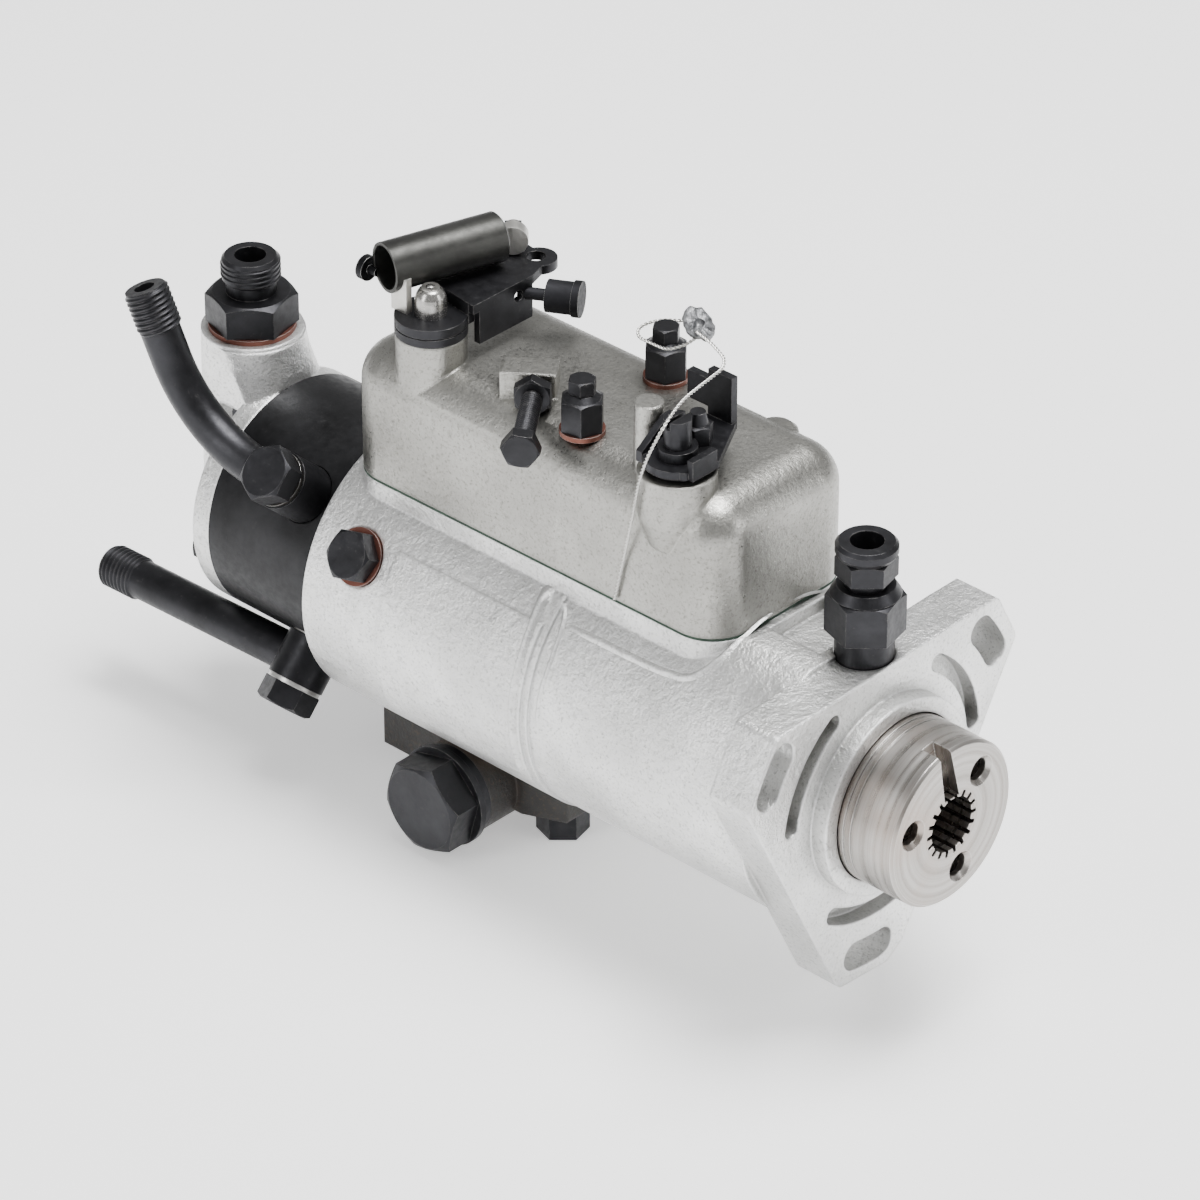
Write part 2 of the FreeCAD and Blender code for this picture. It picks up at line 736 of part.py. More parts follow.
def end_plate():
    back = size.head_back
    rim = rod("plate_rim_disc", size.head_radius, size.plate_rim, (back - size.plate_rim, 0, 0), X)
    hump = taper("plate_hump", 25, 22, 7, (back - size.plate_rim, 0, 0), -X)
    x = size.inlet_place
    neck = taper("inlet_neck", size.inlet_boss + 0.7, size.inlet_boss, size.inlet_top + 9, (x, 0, -9), Z)
    floor = rod("regulator_boss", 9.5, 19, (x, 0, -26), Z)
    flare = common("inlet_flare", turned("inlet_flare_round", FLARE_OUTLINE, (x, 0, 18), Z),
                   centred_block("inlet_flare_room", (back - x, 28, 30), (x, 17)))
    body = fuse("plate_body", [rim, hump, neck, floor, flare])
    tools = [
        rod("liner_recess", 20, 8.5, (back - 8.5, 0, 0), X),
        rod("plate_front_trim", 40, 6, (back, 0, 0), X),
        rod("inlet_bore", 8, 20, (x, 0, 28), Z),
        rod("inlet_passage", 4, 30, (x, 0, 10), Z),
        rod("regulator_bore", 6.5, 41, (x, 0, -27), Z),
    ]
    for angle in (20, 110, 200, 290):
        tools.append(rod("plate_hole_%d" % angle, 2.7, 12, on_circle(back - 8, 27.5, angle), X))
        tools.append(rod("plate_face_%d" % angle, 5.2, 24,
                         on_circle(back - size.plate_rim - 24, 27.5, angle), X))
    piece("end_plate", cut("plate", body, tools))
    screws = []
    for angle in (20, 110, 200, 290):
        seat = on_circle(back - size.plate_rim, 27.5, angle)
        screws.append(seat_screw("plate_screw_%d" % angle, seat, -X, 8, 5, 2.45, 14))
    small_screws.extend(screws)
    washer = turned("inlet_ring", [(8.2, 0), (12, 0), (12, 1.5), (8.2, 1.5)], (x, 0, size.inlet_top), Z)
    top = size.inlet_top + 1.5
    adapter = fuse("inlet_body", [
        rod("inlet_thread", 7.95, 17, (x, 0, top - 17), Z),
        hexagon("inlet_hex", 22, 9.4, (x, 0, top), Z, 43),
        turned("inlet_nipple",
               [(4.3, 0), (6.9, 0), (6.9, 3.4), (7.85, 4.2), (7.85, 9.8), (7, 10.8), (4.3, 10.8)],
               (x, 0, top + 9.4), Z),
    ])
    throat = rod("inlet_throat", 4.3, 60, (x, 0, 20), Z)
    piece("inlet_adapter", cut("inlet_adapter_cut", adapter, [throat]))
    return [washer]


def locking_bolt():
    out = radial(150)
    ring = turned("lock_ring", [(5.2, 0), (7.9, 0), (7.9, 1.2), (5.2, 1.2)], (0, 0, 0), out)
    ring.Placement.Base = out * 40 + Vector(-152, 0, 0)
    bolt = fuse("lock_bolt_body", [
        hexagon("lock_head", 12.8, 4.8, on_circle(-152, 41.2, 150), out, 12),
        rod("lock_stem", 4.95, 6.1, on_circle(-152, 35.15, 150), out),
        rod("lock_tip", 3, 5, on_circle(-152, 30.5, 150), out),
    ])
    piece("head_locking_bolt", bolt)
    return [ring]


# Advance device, under the housing

def advance_device():
    x = size.advance_place
    z = size.advance_height
    y = -22
    long = 44
    barrel = rod("advance_barrel_round", size.advance_barrel, long, (x, y, z), Y)
    saddle = flat_outline("advance_saddle",
                          [(-167, -12.5), (-151, -12.5), (-144, -12), (-116, -12), (-104, -7),
                                             (-104, 7), (-116, 12), (-144, 12), (-151, 12.5), (-167, 12.5)],
                          20, (0, 0, -56), Z)
    body = fuse("advance_body", [barrel, saddle])
    tools = [
        rod("advance_seat", size.housing_radius + 0.05, 90, (-180, 0, 0), X),
        rod("advance_bore", size.piston_radius + size.running_gap, long + 2, (x, y - 1, z), Y),
        rod("advance_port", 7, 20, (x, 0, z), Z),
        rod("advance_stud_hole", 4.1, 30, (size.stud_place, 0, -60), Z),
        rod("advance_fitting_hole", 5.1, 30, (size.fitting_place, 0, -60), Z),
    ]
    piece("advance_housing", cut("advance", body, tools))
    near = turned("near_collar", [(0, 0), (14.4, 0), (14.4, 2), (13.2, 2.6), (13.2, 5), (0, 5)],
                  (x, y - 5, z), Y)
    cap = fuse("near_cap_body", [near, hexagon("near_cap_hex", 24, 9, (x, y - 5, z), -Y, 15)])
    near_cap = cut("near_cap", cap, [rod("near_cap_hole", 5.4, 8.5, (x, y - 8.5, z), Y)])
    far = fuse("far_plug_body", [
        rod("far_plug_collar", 12.6, 2.5, (x, y + long, z), Y),
        hexagon("far_plug_hex", 17, 6, (x, y + long + 2.5, z), Y, 0),
    ])
    far_cap = cut("far_plug", far, [rod("far_plug_hole", 5, 4, (x, y + long - 2, z), Y)])
    piece("advance_caps", group("advance_cap_pair", [near_cap, far_cap]))
    piston = rod("piston_round", size.piston_radius, 26, (x, -13, z), Y)
    piece("advance_piston", cut("piston", piston, [
        rod("piston_ball_hole", 3.3, 20, (x, 0, z - 4.2), Z),
        rod("piston_spring_hole", 5.4, 7, (x, -14, z), Y),
    ]))
    nut = hexagon("advance_nut_hex", 12.6, 8.4, (size.stud_place, 0, -64.4), Z, 43)
    nut_hole = rod("advance_nut_hole", 4, 12, (size.stud_place, 0, -66), Z)
    stud = rod("advance_stud_round", 3.95, 28, (size.stud_place, 0, -64.4), Z)
    piece("advance_stud", group("advance_stud_set", [stud, cut("advance_nut_cut", nut, [nut_hole])]))
    fitting = fuse("fitting_body", [
        hexagon("fitting_hex", 13, 5, (size.fitting_place, 0, -61), Z, 0),
        rod("fitting_stem", 4.95, 19.6, (size.fitting_place, 0, -56.4), Z),
        rod("fitting_tip", 3.5, 5, (size.fitting_place, 0, -37), Z),
    ])
    piece("head_locating_fitting", fitting)


# Drive and pumping parts, turning about X

def spline_bore():
    """The toothed socket of the drive hub: eighteen pointed grooves round a bore."""
    count = 18
    points = []
    for step in range(count):
        for share, radius in ((-0.24, size.spline_inner), (-0.16, size.spline_outer),
                              (0.16, size.spline_outer), (0.24, size.spline_inner)):
            turn = 2 * math.pi * (step + share) / count
            points.append(Vector(0, float(radius) * math.cos(turn), float(radius) * math.sin(turn)))
    face = Part.Face(Part.makePolygon(points + points[:1]))
    item = solid("spline_bore", face.extrude(X * (float(size.spline_depth) + 1)))
    return place_plain(item, X * float(size.hub_reach - size.spline_depth))


def drive_hub():
    reach = size.hub_reach
    shoulder = size.hub_root - size.hub_tail
    outline = [
        (0, 0), (size.nose_radius, 0), (size.nose_radius, 8), (size.journal_radius, 8),
        (size.journal_radius, shoulder), (size.hub_radius, shoulder),
        (size.hub_radius, reach - size.hub_tail - 0.8), (size.hub_radius - 0.8, reach - size.hub_tail),
        (0, reach - size.hub_tail),
    ]
    body = turned("hub_body", outline, (size.hub_tail, 0, 0), X)
    tools = [
        spline_bore(),
        rod("quill_socket", 7.05, 32, (size.hub_tail - 1, 0, 0), X),
        rod("hub_oilway", 5, 30, (-20, 0, 0), X),
    ]
    for angle in (45, 165, 285):
        mouth = on_circle(reach - 14, size.hub_hole_circle, angle)
        tools.append(rod("hub_hole_%d" % angle, size.hub_hole_radius, 15, mouth, X))
        bell = on_circle(reach - 1.2, size.hub_hole_circle, angle)
        tools.append(taper("hub_bell_%d" % angle, size.hub_hole_radius, 4.6, 1.5, bell, X))
    wedge = [Vector(0, -5.6, 24), Vector(0, -1.6, 24), Vector(0, 2.6, 8), Vector(0, -3, 8)]
    slot = solid("timing_slot", Part.Face(Part.makePolygon(wedge + wedge[:1])).extrude(X * 7))
    slot.Placement = FreeCAD.Placement(X * float(reach - 6), FreeCAD.Rotation())
    tools.append(slot)
    for x in (6.6, 9):
        floor = size.hub_radius - 0.35
        rim = size.hub_radius + 1
        ring = [(floor, 0), (rim, 0), (rim, 0.5), (floor, 0.5)]
        tools.append(turned("hub_groove_%d" % x, ring, (x, 0, 0), X))
    return piece("drive_hub", cut("hub", body, tools))


def quill_shaft():
    outline = [(0, 0), (6.6, 0), (7, 0.6), (7, 8), (size.quill_radius, 9.5),
               (size.quill_radius, 80.5), (7, 82), (7, 98.9), (6.4, 99.5), (0, 99.5)]
    body = turned("quill_body", outline, (-123.5, 0, 0), X)
    tools = []
    for index, x in enumerate((-124.5, -42)):
        for step in range(6):
            turn = 60 * step
            name = "quill_groove_%d_%d" % (index, step)
            tools.append(rod(name, 0.9, 11 if index == 0 else 18, on_circle(x, 7.2, turn), X))
    return piece("quill_shaft", cut("quill", body, tools))


def weight_carrier():
    plate = turned("carrier_plate", [(14, 0), (33, 0), (33, 3), (17.5, 3), (17.5, 8), (14, 8)], (-46, 0, 0),
                   X)
    walls = [plate]
    for angle in (45, 135, 225, 315):
        wall = block("carrier_wall_%d" % angle, (26, 14.6, 4.4), (0, 0, 0))
        turn = FreeCAD.Rotation(X, angle)
        spot = turn.multVec(Vector(-72, 17.5, -2.2))
        wall.Placement = FreeCAD.Placement(spot, turn)
        walls.append(wall)
    rim = turned("carrier_rim", [(26, 0), (33, 0), (33, 2), (26, 2)], (-74, 0, 0), X)
    rim_wall = fuse("carrier_body", walls + [rim])
    return piece("weight_carrier", rim_wall)


def governor_weights():
    """Four weights that hinge at the carrier plate, each with a toe on the sleeve."""
    for number, angle in enumerate((0, 90, 180, 270), start=1):
        outline = [Vector(-50, 0, 16), Vector(-50, 0, 19), Vector(-52, 0, 25), Vector(-71, 0, 25),
                   Vector(-71, 0, 17), Vector(-57.3, 0, 16.5), Vector(-57.3, 0, 10), Vector(-54.2, 0, 9.4),
                   Vector(-52, 0, 12)]
        face = Part.Face(Part.makePolygon(outline + outline[:1]))
        face.translate(Vector(0, -8, 0))
        item = solid("weight_shape_%d" % number, face.extrude(Vector(0, 16, 0)))
        item.Placement = FreeCAD.Placement(Vector(), FreeCAD.Rotation(X, angle))
        piece("governor_weight_%d" % number, item)


def thrust_sleeve():
    long = size.sleeve_front - size.sleeve_back
    bore = size.quill_radius + size.running_gap
    outline = [(bore, 0), (11.5, 0), (11.5, 2), (8, 3), (8, long - 3), (13, long - 2), (13, long),
               (bore, long)]
    return piece("thrust_sleeve", turned("sleeve_body", outline, (size.sleeve_back, 0, 0), X))


def governor_arm():
    """A forked plate: its legs straddle the quill shaft, its top meets the spring."""
    plane = float(size.arm_plane)
    pivot = float(size.arm_pivot)
    side = [(-7, pivot + 22), (7, pivot + 22), (7, pivot + 8), (8, pivot + 3), (8, pivot - 6), (11, 12),
            (11, -9),
            (6.4, -9), (6.4, 12), (0, 17), (-6.4, 12), (-6.4, -9), (-11, -9), (-11, 12), (-8, pivot - 6),
            (-8, pivot + 3), (-7, pivot + 8)]
    points = [Vector(0, y, z) for y, z in side]
    plate = solid("arm_plate", Part.Face(Part.makePolygon(points + points[:1])).extrude(X * 2.4))
    place_plain(plate, X * (plane - 1.2))
    hub = rod("arm_hub", 3.4, 15.6, (plane, -7.8, pivot), Y)
    body = fuse("arm_body", [plate, hub])
    tools = [
        rod("arm_bore", 1.65, 24, (plane, -12, pivot), Y),
        rod("arm_spring_eye", 1.3, 6, (plane - 3, -3.6, pivot + 18.5), X),
        rod("arm_link_eye", 1.3, 6, (plane - 3, 3.6, pivot + 16), X),
    ]
    return piece("governor_arm", cut("arm", body, tools))


def control_bracket():
    """The plate on the cover studs that carries the arm's pivot pin in two ears."""
    low = size.pad_height
    plate = centred_block("bracket_plate", (30, 40, 1.6), (-106.6, low))
    plane = float(size.arm_plane)
    ears = []
    for y in (-10.2, 8.2):
        ears.append(block("bracket_ear_%d" % (y > 0), (9, 2, 10.4), (plane - 4.5, y, low)))
    body = fuse("bracket_body", [plate] + ears)
    tools = [centred_block("bracket_window", (22, 16.4, 8), (-102, low - 3))]
    for x, y in ((-89.5, -16), (-92, 18)):
        tools.append(rod("bracket_hole_%d" % y, 3.1, 6, (x, y, low - 2), Z))
    tools.append(rod("bracket_pin_hole", 1.62, 30, (plane, -15, size.arm_pivot), Y))
    pin = rod("pivot_pin", 1.6, 21, (plane, -10.5, size.arm_pivot), Y)
    piece("control_bracket", group("bracket_set", [cut("bracket", body, tools), pin]))


def metering_parts():
    x, y = -152, 8
    valve = turned("valve_body", [(0, 0), (3.5, 0), (3.5, 14), (2.2, 15), (2.2, 30), (0, 30)], (x, y, 17), Z)
    slot = block("valve_helix", (4, 6, 5), (x - 2, y + 2.4, 19))
    arm = block("valve_arm_bar", (5, 11, 2), (x - 2.5, y - 8.5, 44.6))
    pin = rod("valve_arm_pin", 1.1, 5, (x, y - 6, 46), Z)
    lever = fuse("valve_parts", [cut("valve_cut", valve, [slot]), arm, pin])
    piece("metering_valve", lever)
    link = fuse("link_body", [
        rod("link_bar", 1, 59.6, (-149.2, 3.6, 60), X),
        rod("link_drop", 1, 11.5, (-149.2, 3.6, 49.2), Z),
    ])
    piece("metering_link", link)


def spring_coil(name, radius, wire, turns, start, way):
    """A coil of flat-sided wire, wound by its own number of turns."""
    pitch = way.Length / turns
    helix = Part.makeHelix(pitch, way.Length, radius)
    corner = wire / 2
    square = [Vector(radius - corner, 0, -corner), Vector(radius + corner, 0, -corner),
              Vector(radius + corner, 0, corner), Vector(radius - corner, 0, corner)]
    section = Part.makePolygon(square + square[:1])
    shape = Part.Wire(helix.Edges).makePipeShell([section], True, True)
    item = solid(name, shape)
    item.Placement = FreeCAD.Placement(start, FreeCAD.Rotation(Z, way))
    return item


def cam_ring():
    """The cam ring: an even bore with one lobe for each engine cylinder."""
    x = float(size.advance_place)
    base, rise = 26.6, 2.2
    points = []
    steps = 48
    for step in range(steps):
        turn = 2 * math.pi * step / steps
        lift = rise * max(0, math.cos(4 * turn)) ** 2
        points.append(Vector(0, (base - lift) * math.cos(turn), (base - lift) * math.sin(turn)))
    curve = Part.BSplineCurve()
    curve.interpolate(points, PeriodicFlag=True)
    inside = Part.Face(Part.Wire([curve.toShape()])).extrude(X * 24)
    inside.translate(X * (x - 12))
    ring = rod("cam_ring_round", size.bore_radius - 0.02, 18, (x - 9, 0, 0), X)
    hole = rod("cam_screw_hole", 3.6, 14, (x, 0, -40), Z)
    lobes = cut("cam", ring, [solid("cam_profile", inside), hole])
    z = size.advance_height
    screw = fuse("cam_screw_body", [
        rod("cam_screw_stem", 3.5, 8.6, (x, 0, -35), Z),
        rod("cam_screw_neck", 2.2, 11, (x, 0, z + 4.5), Z),
        ball("cam_screw_ball", 3.1, (x, 0, z + 3)),
    ])
    piece("cam_ring", group("cam_set", [lobes, screw]))


def ball(name, radius, at):
    item = doc.addObject("Part::Sphere", name)
    bind(item, "Radius", radius)
    return place(item, at)


def rotor_parts():
    x = float(size.advance_place)
    back = size.head_back
    shaft = rod("rotor_shaft", size.rotor_radius, -142 - back + 0.9, (back - 0.9, 0, 0), X)
    head = rod("rotor_head", 16, 22, (x - 12.2, 0, 0), X)
    body = fuse("rotor_body", [shaft, head])
    tools = [
        rod("plunger_bore", 3.05, 60, (x, 0, -30), Z),
        rod("rotor_oilway", 1.5, 60, (-190, 0, 0), X),
        rod("rotor_port", 1.5, 12, (size.outlet_plane, 0, 0), Z),
        rod("drive_recess", 7.3, 6, (x + 5.5, 0, 0), X),
        centred_block("shoe_slot", (14, 10, 60), (x - 7, -30)),
    ]
    core = rod("plunger_guide", 9.4, 22, (x - 12.2, 0, 0), X)
    core_cut = cut("plunger_guide_cut", core, [rod("plunger_guide_bore", 3.05, 60, (x, 0, -30), Z),
                                               rod("plunger_guide_oil", 1.5, 30, (x - 14, 0, 0), X),
                                               rod("plunger_guide_recess", 7.3, 6, (x + 5.5, 0, 0), X)])
    rotor = fuse("rotor_joined", [cut("rotor_cut", body, tools), core_cut])
    plungers = []
    shoes = []
    rollers = []
    for side in (-1, 1):
        name = "_%d" % (side + 1)
        way = Z * side
        plungers.append(rod("plunger" + name, 3, 11, (x, 0, side * 4.6), way))
        shoe = block("shoe_block" + name, (13.6, 9.4, 6.2),
                     (x - 6.8, -4.7, side * 15.8 + (-6.2 if side < 0 else 0)))
        trough = rod("shoe_trough" + name, 3.3, 20, (x - 10, 0, side * 20.6), X)
        shoes.append(cut("shoe" + name, shoe, [trough]))
        rollers.append(rod("roller" + name, 3.2, 13.2, (x - 6.6, 0, side * 20.6), X))
    piece("pump_plungers", group("plunger_pair", plungers))
    piece("roller_shoes", group("shoe_set", shoes + rollers))
    plate = turned("drive_plate_body", [(7.3, 0), (16, 0), (16, 3), (7.3, 3)], (x + 9.8, 0, 0), X)
    piece("distributor_rotor", group("rotor_set", [rotor, plate]))


def transfer_pump():
    back = size.head_back
    offset = 1.4
    liner = rod("liner_round", 19.9, 7.2, (back - 8.3, 0, 0), X)
    piece("transfer_liner", cut("liner", liner, [rod("liner_bore", 14.6, 12, (back - 10, 0, offset), X)]))
    rotor = rod("transfer_round", 12.6, 6.8, (back - 8.1, 0, 0), X)
    slots = [
        centred_block("blade_slot_up", (10, 2.1, 26), (back - 10, -13)),
        block("blade_slot_side", (10, 26, 2.1), (back - 10, -13, -1.05)),
    ]
    body = cut("transfer", rotor, slots)
    blades = []
    for turn in (0, 90, 180, 270):
        blade = block("blade_%d" % turn, (6.6, 2, 9.6), (0, 0, 0))
        spin = FreeCAD.Rotation(X, turn)
        spot = spin.multVec(Vector(float(back) - 8, -1, 3.2))
        blade.Placement = FreeCAD.Placement(spot, spin)
        blades.append(blade)
    piece("transfer_rotor", group("transfer_set", [body] + blades))


def regulator_parts():
    x = size.inlet_place
    sleeve = turned("regulator_tube", [(4.2, 0), (6.45, 0), (6.45, 33), (4.2, 33)], (x, 0, -20), Z)
    ports = rod("regulator_port", 1.2, 20, (x - 10, 0, -6), X)
    tube = cut("regulator", sleeve, [ports])
    piece("regulating_piston",
          turned("regulator_piston_body", [(0, 0), (4.15, 0), (4.15, 9), (2.4, 9), (2.4, 4), (0, 4)],
                                      (x, 0, -11.4), Z))
    plug = fuse("plug_body", [
        rod("plug_thread", 6.45, 5, (x, 0, -26), Z),
        hexagon("plug_hex", 12, 4.4, (x, 0, -30.4), Z, 0),
    ])
    piece("regulating_sleeve", group("regulator_set", [tube, plug]))


# Shut-off lever, turning about the upright axis of its shaft

LEVER_FLOOR = 86.2
LEVER_THICK = 2.6
LEVER_STEP = 3.6
TUBE_START = Vector(-155.7, -19.8, 99.6)
TUBE_END = Vector(-145.85, 12.25, 99.6)
CAP_SCREW_WAY = Vector(0.87, 0.49, 0)
CAP_SCREW_ROOT = Vector(-132.6, 11.8, 87.7)
RIVET_WAY = Vector(0.683, -0.728, 0)
RIVET_FACE = Vector(-144.4, 16, 97)
RIVET_TURN = 43.2


def lever_plate():
    """The ring under the dome nut, and an arm that steps up to the eye and the hanging tab."""
    x, y = size.shutoff_x, size.shutoff_y
    upper = LEVER_FLOOR + LEVER_STEP
    top = upper + LEVER_THICK
    ring = rod("lever_ring", 9.6, LEVER_THICK, (x, y, LEVER_FLOOR), Z)
    neck = flat_outline("lever_neck", [(-151.2, -14), (-137.5, -15), (-136, -8), (-151.2, -5)], LEVER_THICK,
                        (0, 0, LEVER_FLOOR), Z)
    riser = flat_outline("lever_riser", [(-151.2, -7.2), (-136, -9.4), (-136, -6.8), (-151.2, -4.6)],
                         LEVER_STEP + LEVER_THICK, (0, 0, LEVER_FLOOR), Z)
    outline = [(-151.2, -7.2), (-134, -9.6), (-134, 12.4), (-137, 22), (-146, 23.4), (-150.4, 20),
               (-148, 13.9)]
    arm = flat_outline("lever_arm_plate", outline, LEVER_THICK, (0, 0, upper), Z)
    eye = rod("lever_eye", 5, LEVER_THICK, (-139.6, 20.6, upper), Z)
    tab = block("lever_tab", (2, 19.7, top - 80.2), (-136, -7.3, 80.2))
    foot = RIVET_FACE - RIVET_WAY * 4 - Vector(1.6, 1.5, 0)
    post = block("lever_post", (4.4, 2, 8.5), (foot.x, foot.y, top - 1), Z, RIVET_TURN)
    body = fuse("lever_body", [ring, neck, riser, arm, eye, tab, post])
    tools = [
        rod("lever_shaft_hole", size.shutoff_radius, 12, (x, y, LEVER_FLOOR - 3), Z),
        rod("lever_eye_hole", 2.6, 12, (-140.4, 20.4, upper - 3), Z),
        rod("lever_tab_hole", 1.6, 8, (-139, 7.2, 88.4), X),
        rod("lever_cap_hole", 1.7, 12, tuple(CAP_SCREW_ROOT - CAP_SCREW_WAY * 6), CAP_SCREW_WAY),
        rod("lever_rivet_hole", 1.65, 4, tuple(RIVET_FACE - RIVET_WAY * 7), RIVET_WAY),
    ]
    return piece("shutoff_lever", cut("lever", body, tools))


def shutoff_parts():
    x, y = size.shutoff_x, size.shutoff_y
    shaft = fuse("shutoff_body", [
        rod("shutoff_round", size.shutoff_radius, 32, (x, y, 56.8), Z),
        rod("shutoff_thread", 2.4, 8, (x, y, 88.6), Z),
        block("shutoff_crank", (12, 4, 3), (x - 4, y - 2, 53.8)),
        rod("shutoff_pin", 1.5, 5, (x + 6.5, y, 49), Z),
    ])
    piece("shutoff_shaft", shaft)
    washer = turned("shutoff_ring", [(4.1, 0), (9.6, 0), (9.6, 2.2), (4.1, 2.2)], (x, y, 83.7), Z)
    dome_outline = [(0, 0), (4.2, 0), (4.2, 4.2), (3.9, 5.6), (3.1, 7), (1.8, 7.9), (0, 8.2)]
    dome = turned("dome_body", dome_outline, (x, y, LEVER_FLOOR + LEVER_THICK), Z)
    thread = rod("dome_hole", 2.4, 8.01, (x, y, LEVER_FLOOR + LEVER_THICK - 0.01), Z)
    dome_nut = cut("dome", dome, [thread])
    way = TUBE_END - TUBE_START
    long = way.Length
    tube_outline = [(5.9, 0), (6.8, 0), (6.8, long - 0.6), (6.2, long), (0, long), (0, long - 4),
                    (5.9, long - 4)]
    tube = turned("tube_body", tube_outline, (0, 0, 0), way)
    tube.Placement.Base = TUBE_START
    piece("spring_tube", tube)
    strap = block("strap_bar", (5.5, 2, 10), (-153.4, -20, LEVER_FLOOR + LEVER_THICK))
    hollow = solid("strap_saddle", tube_run(TUBE_START, TUBE_END, 6.82))
    clip = cut("strap", strap, [hollow])
    rivet = fuse("rivet_body", [
        solid("rivet_head", tube_run(RIVET_FACE - RIVET_WAY * 4, RIVET_FACE, 4.05)),
        solid("rivet_stem", tube_run(RIVET_FACE - RIVET_WAY * 7, RIVET_FACE - RIVET_WAY * 3, 1.6)),
        solid("rivet_tail", tube_run(RIVET_FACE - RIVET_WAY * 7.2, RIVET_FACE - RIVET_WAY * 6.02, 2.6)),
    ])
    screw_shape = fuse("tube_screw_body", [
        rod("tube_screw_head", 3.4, 2, (-164.6, -18.4, 96), X),
        rod("tube_screw_stem", 1.2, 3, (-162.8, -18.4, 96), X),
    ])
    round_side = solid("screw_saddle", tube_run(TUBE_START, TUBE_END, 6.82))
    screw = cut("tube_screw", screw_shape, [round_side])
    piece("tube_fittings", group("tube_fitting_set", [clip, rivet, screw]))
    root = CAP_SCREW_ROOT
    cap = fuse("cap_body", [
        solid("cap_barrel", tube_run(root + CAP_SCREW_WAY * 3.4, root + CAP_SCREW_WAY * 10.5, 4.4)),
        solid("cap_rim", tube_run(root + CAP_SCREW_WAY * 10.5, root + CAP_SCREW_WAY * 12.6, 4.9)),
        solid("cap_stem", tube_run(root - CAP_SCREW_WAY * 4.4, root + CAP_SCREW_WAY * 3.6, 1.65)),
    ])
    piece("lever_fasteners", group("lever_fastener_set", [dome_nut, cap]))
    return washer


# Throttle shaft and its stop plate, turning about the upright axis of the shaft

def throttle_parts():
    x, y = size.throttle_x, size.throttle_y
    floor = 82.6
    shaft = fuse("throttle_body", [
        rod("throttle_round", size.throttle_radius, 39.2, (x, y, 56.6), Z),
        block("throttle_crank", (4, 17.5, 3), (x - 2, y - 2, 56.6)),
        rod("throttle_pin", 1.4, 6, (x, y + 13.4, 59), Z),
    ])
    slot = block("throttle_slot", (1.2, 10, 3), (x - 0.6, y - 5, 93.4))
    piece("throttle_shaft", cut("throttle_cut", shaft, [slot]))
    washer = turned("throttle_ring", [(3.7, 0), (7, 0), (7, 1.4), (3.7, 1.4)], (x, y, 81.1), Z)
    outline = [(-8, -6), (7.6, -6), (9.5, 5), (0, 22), (-8, 22), (-8, 7)]
    base = flat_outline("stop_base", outline, 2.2, (x, y, floor), Z, 0, 1.5)
    left_ear = [(0, -6.4), (0, 6.1), (-9.4, 6.1), (-9.4, 3), (-3, -6.4)]
    ears = [
        rod("stop_disc", 8.7, 2.2, (x, y, floor), Z),
        flat_outline("stop_left_ear", left_ear, 2, (x - 8.2, y, floor), X),
        block("stop_right_ear", (2, 9, 5.6), (x + 7.4, y - 4.5, floor), Z),
        block("stop_tall_ear", (8, 2.2, 15.4), (x - 8, y + 20, floor), Z),
        block("stop_bar", (8, 2.2, 8), (x - 15, y + 20, floor + 4.4), Z),
    ]
    body = fuse("stop_body", [base] + ears)
    hole = rod("stop_hole", size.throttle_radius, 20, (x, y, floor - 4), Z)
    clamp_hole = rod("stop_clamp_hole", 1.6, 20, (x - 1, y + 8.6, floor - 4), Z)
    piece("throttle_stop_plate", cut("stop_cut", body, [hole, clamp_hole]))
    collar = turned("clamp_collar_body", [(3.6, 0), (5.2, 0), (5.2, 3), (3.6, 3)], (x, y, floor + 2.2), Z)
    clamp = fuse("clamp_body", [
        hexagon("clamp_hex", 7, 5.2, (x - 1, y + 8.6, floor + 2.2), Z, 0),
        rod("clamp_stem", 1.6, 3.4, (x - 1, y + 8.6, floor - 0.9), Z),
        taper("clamp_top", 2.8, 2, 3.4, (x - 1, y + 8.6, floor + 7.4), Z),
    ])
    piece("throttle_clamp", group("throttle_clamp_set", [collar, clamp]))
    return washer


def idle_screw():
    way = Vector(0.6, -0.8, 0)
    face = Vector(-107.9, -14.5, 79.7)
    screw = fuse("idle_body", [
        solid("idle_stem", tube_run(face - way * 7, face + way * 26, 2.45)),
        hexagon("idle_head", 9, 4, tuple(face + way * 26), way, 30),
    ])
    nut = hexagon("idle_nut_hex", 9.4, 3.6, tuple(face + way * 0.2), way, 10)
    hole = solid("idle_nut_hole", tube_run(face - way * 4, face + way * 9, 2.46))
    piece("idle_screw", group("idle_set", [screw, cut("idle_nut", nut, [hole])]))


def springs():
    z = float(size.pad_height)
    arm = float(size.arm_plane)
    start = Vector(float(size.throttle_x) - 5, float(size.throttle_y) + 13.4, 61.5)
    end = Vector(arm + 2.6, -3.6, 61.5)
    piece("governor_spring", spring_coil("governor_coil", 3, 0.9, 8, end, start - end))
    x = float(size.advance_place)
    height = float(size.advance_height)
    piece("advance_spring",
          spring_coil("advance_coil", 4.2, 1.2, 5, Vector(x, -22.4, height), Vector(0, 14.2, 0)))
    x = float(size.inlet_place)
    piece("regulating_spring",
          spring_coil("regulator_coil", 3, 0.8, 5, Vector(x, 0, -1.9), Vector(0, 0, 10.9)))


# Seal wire and seal

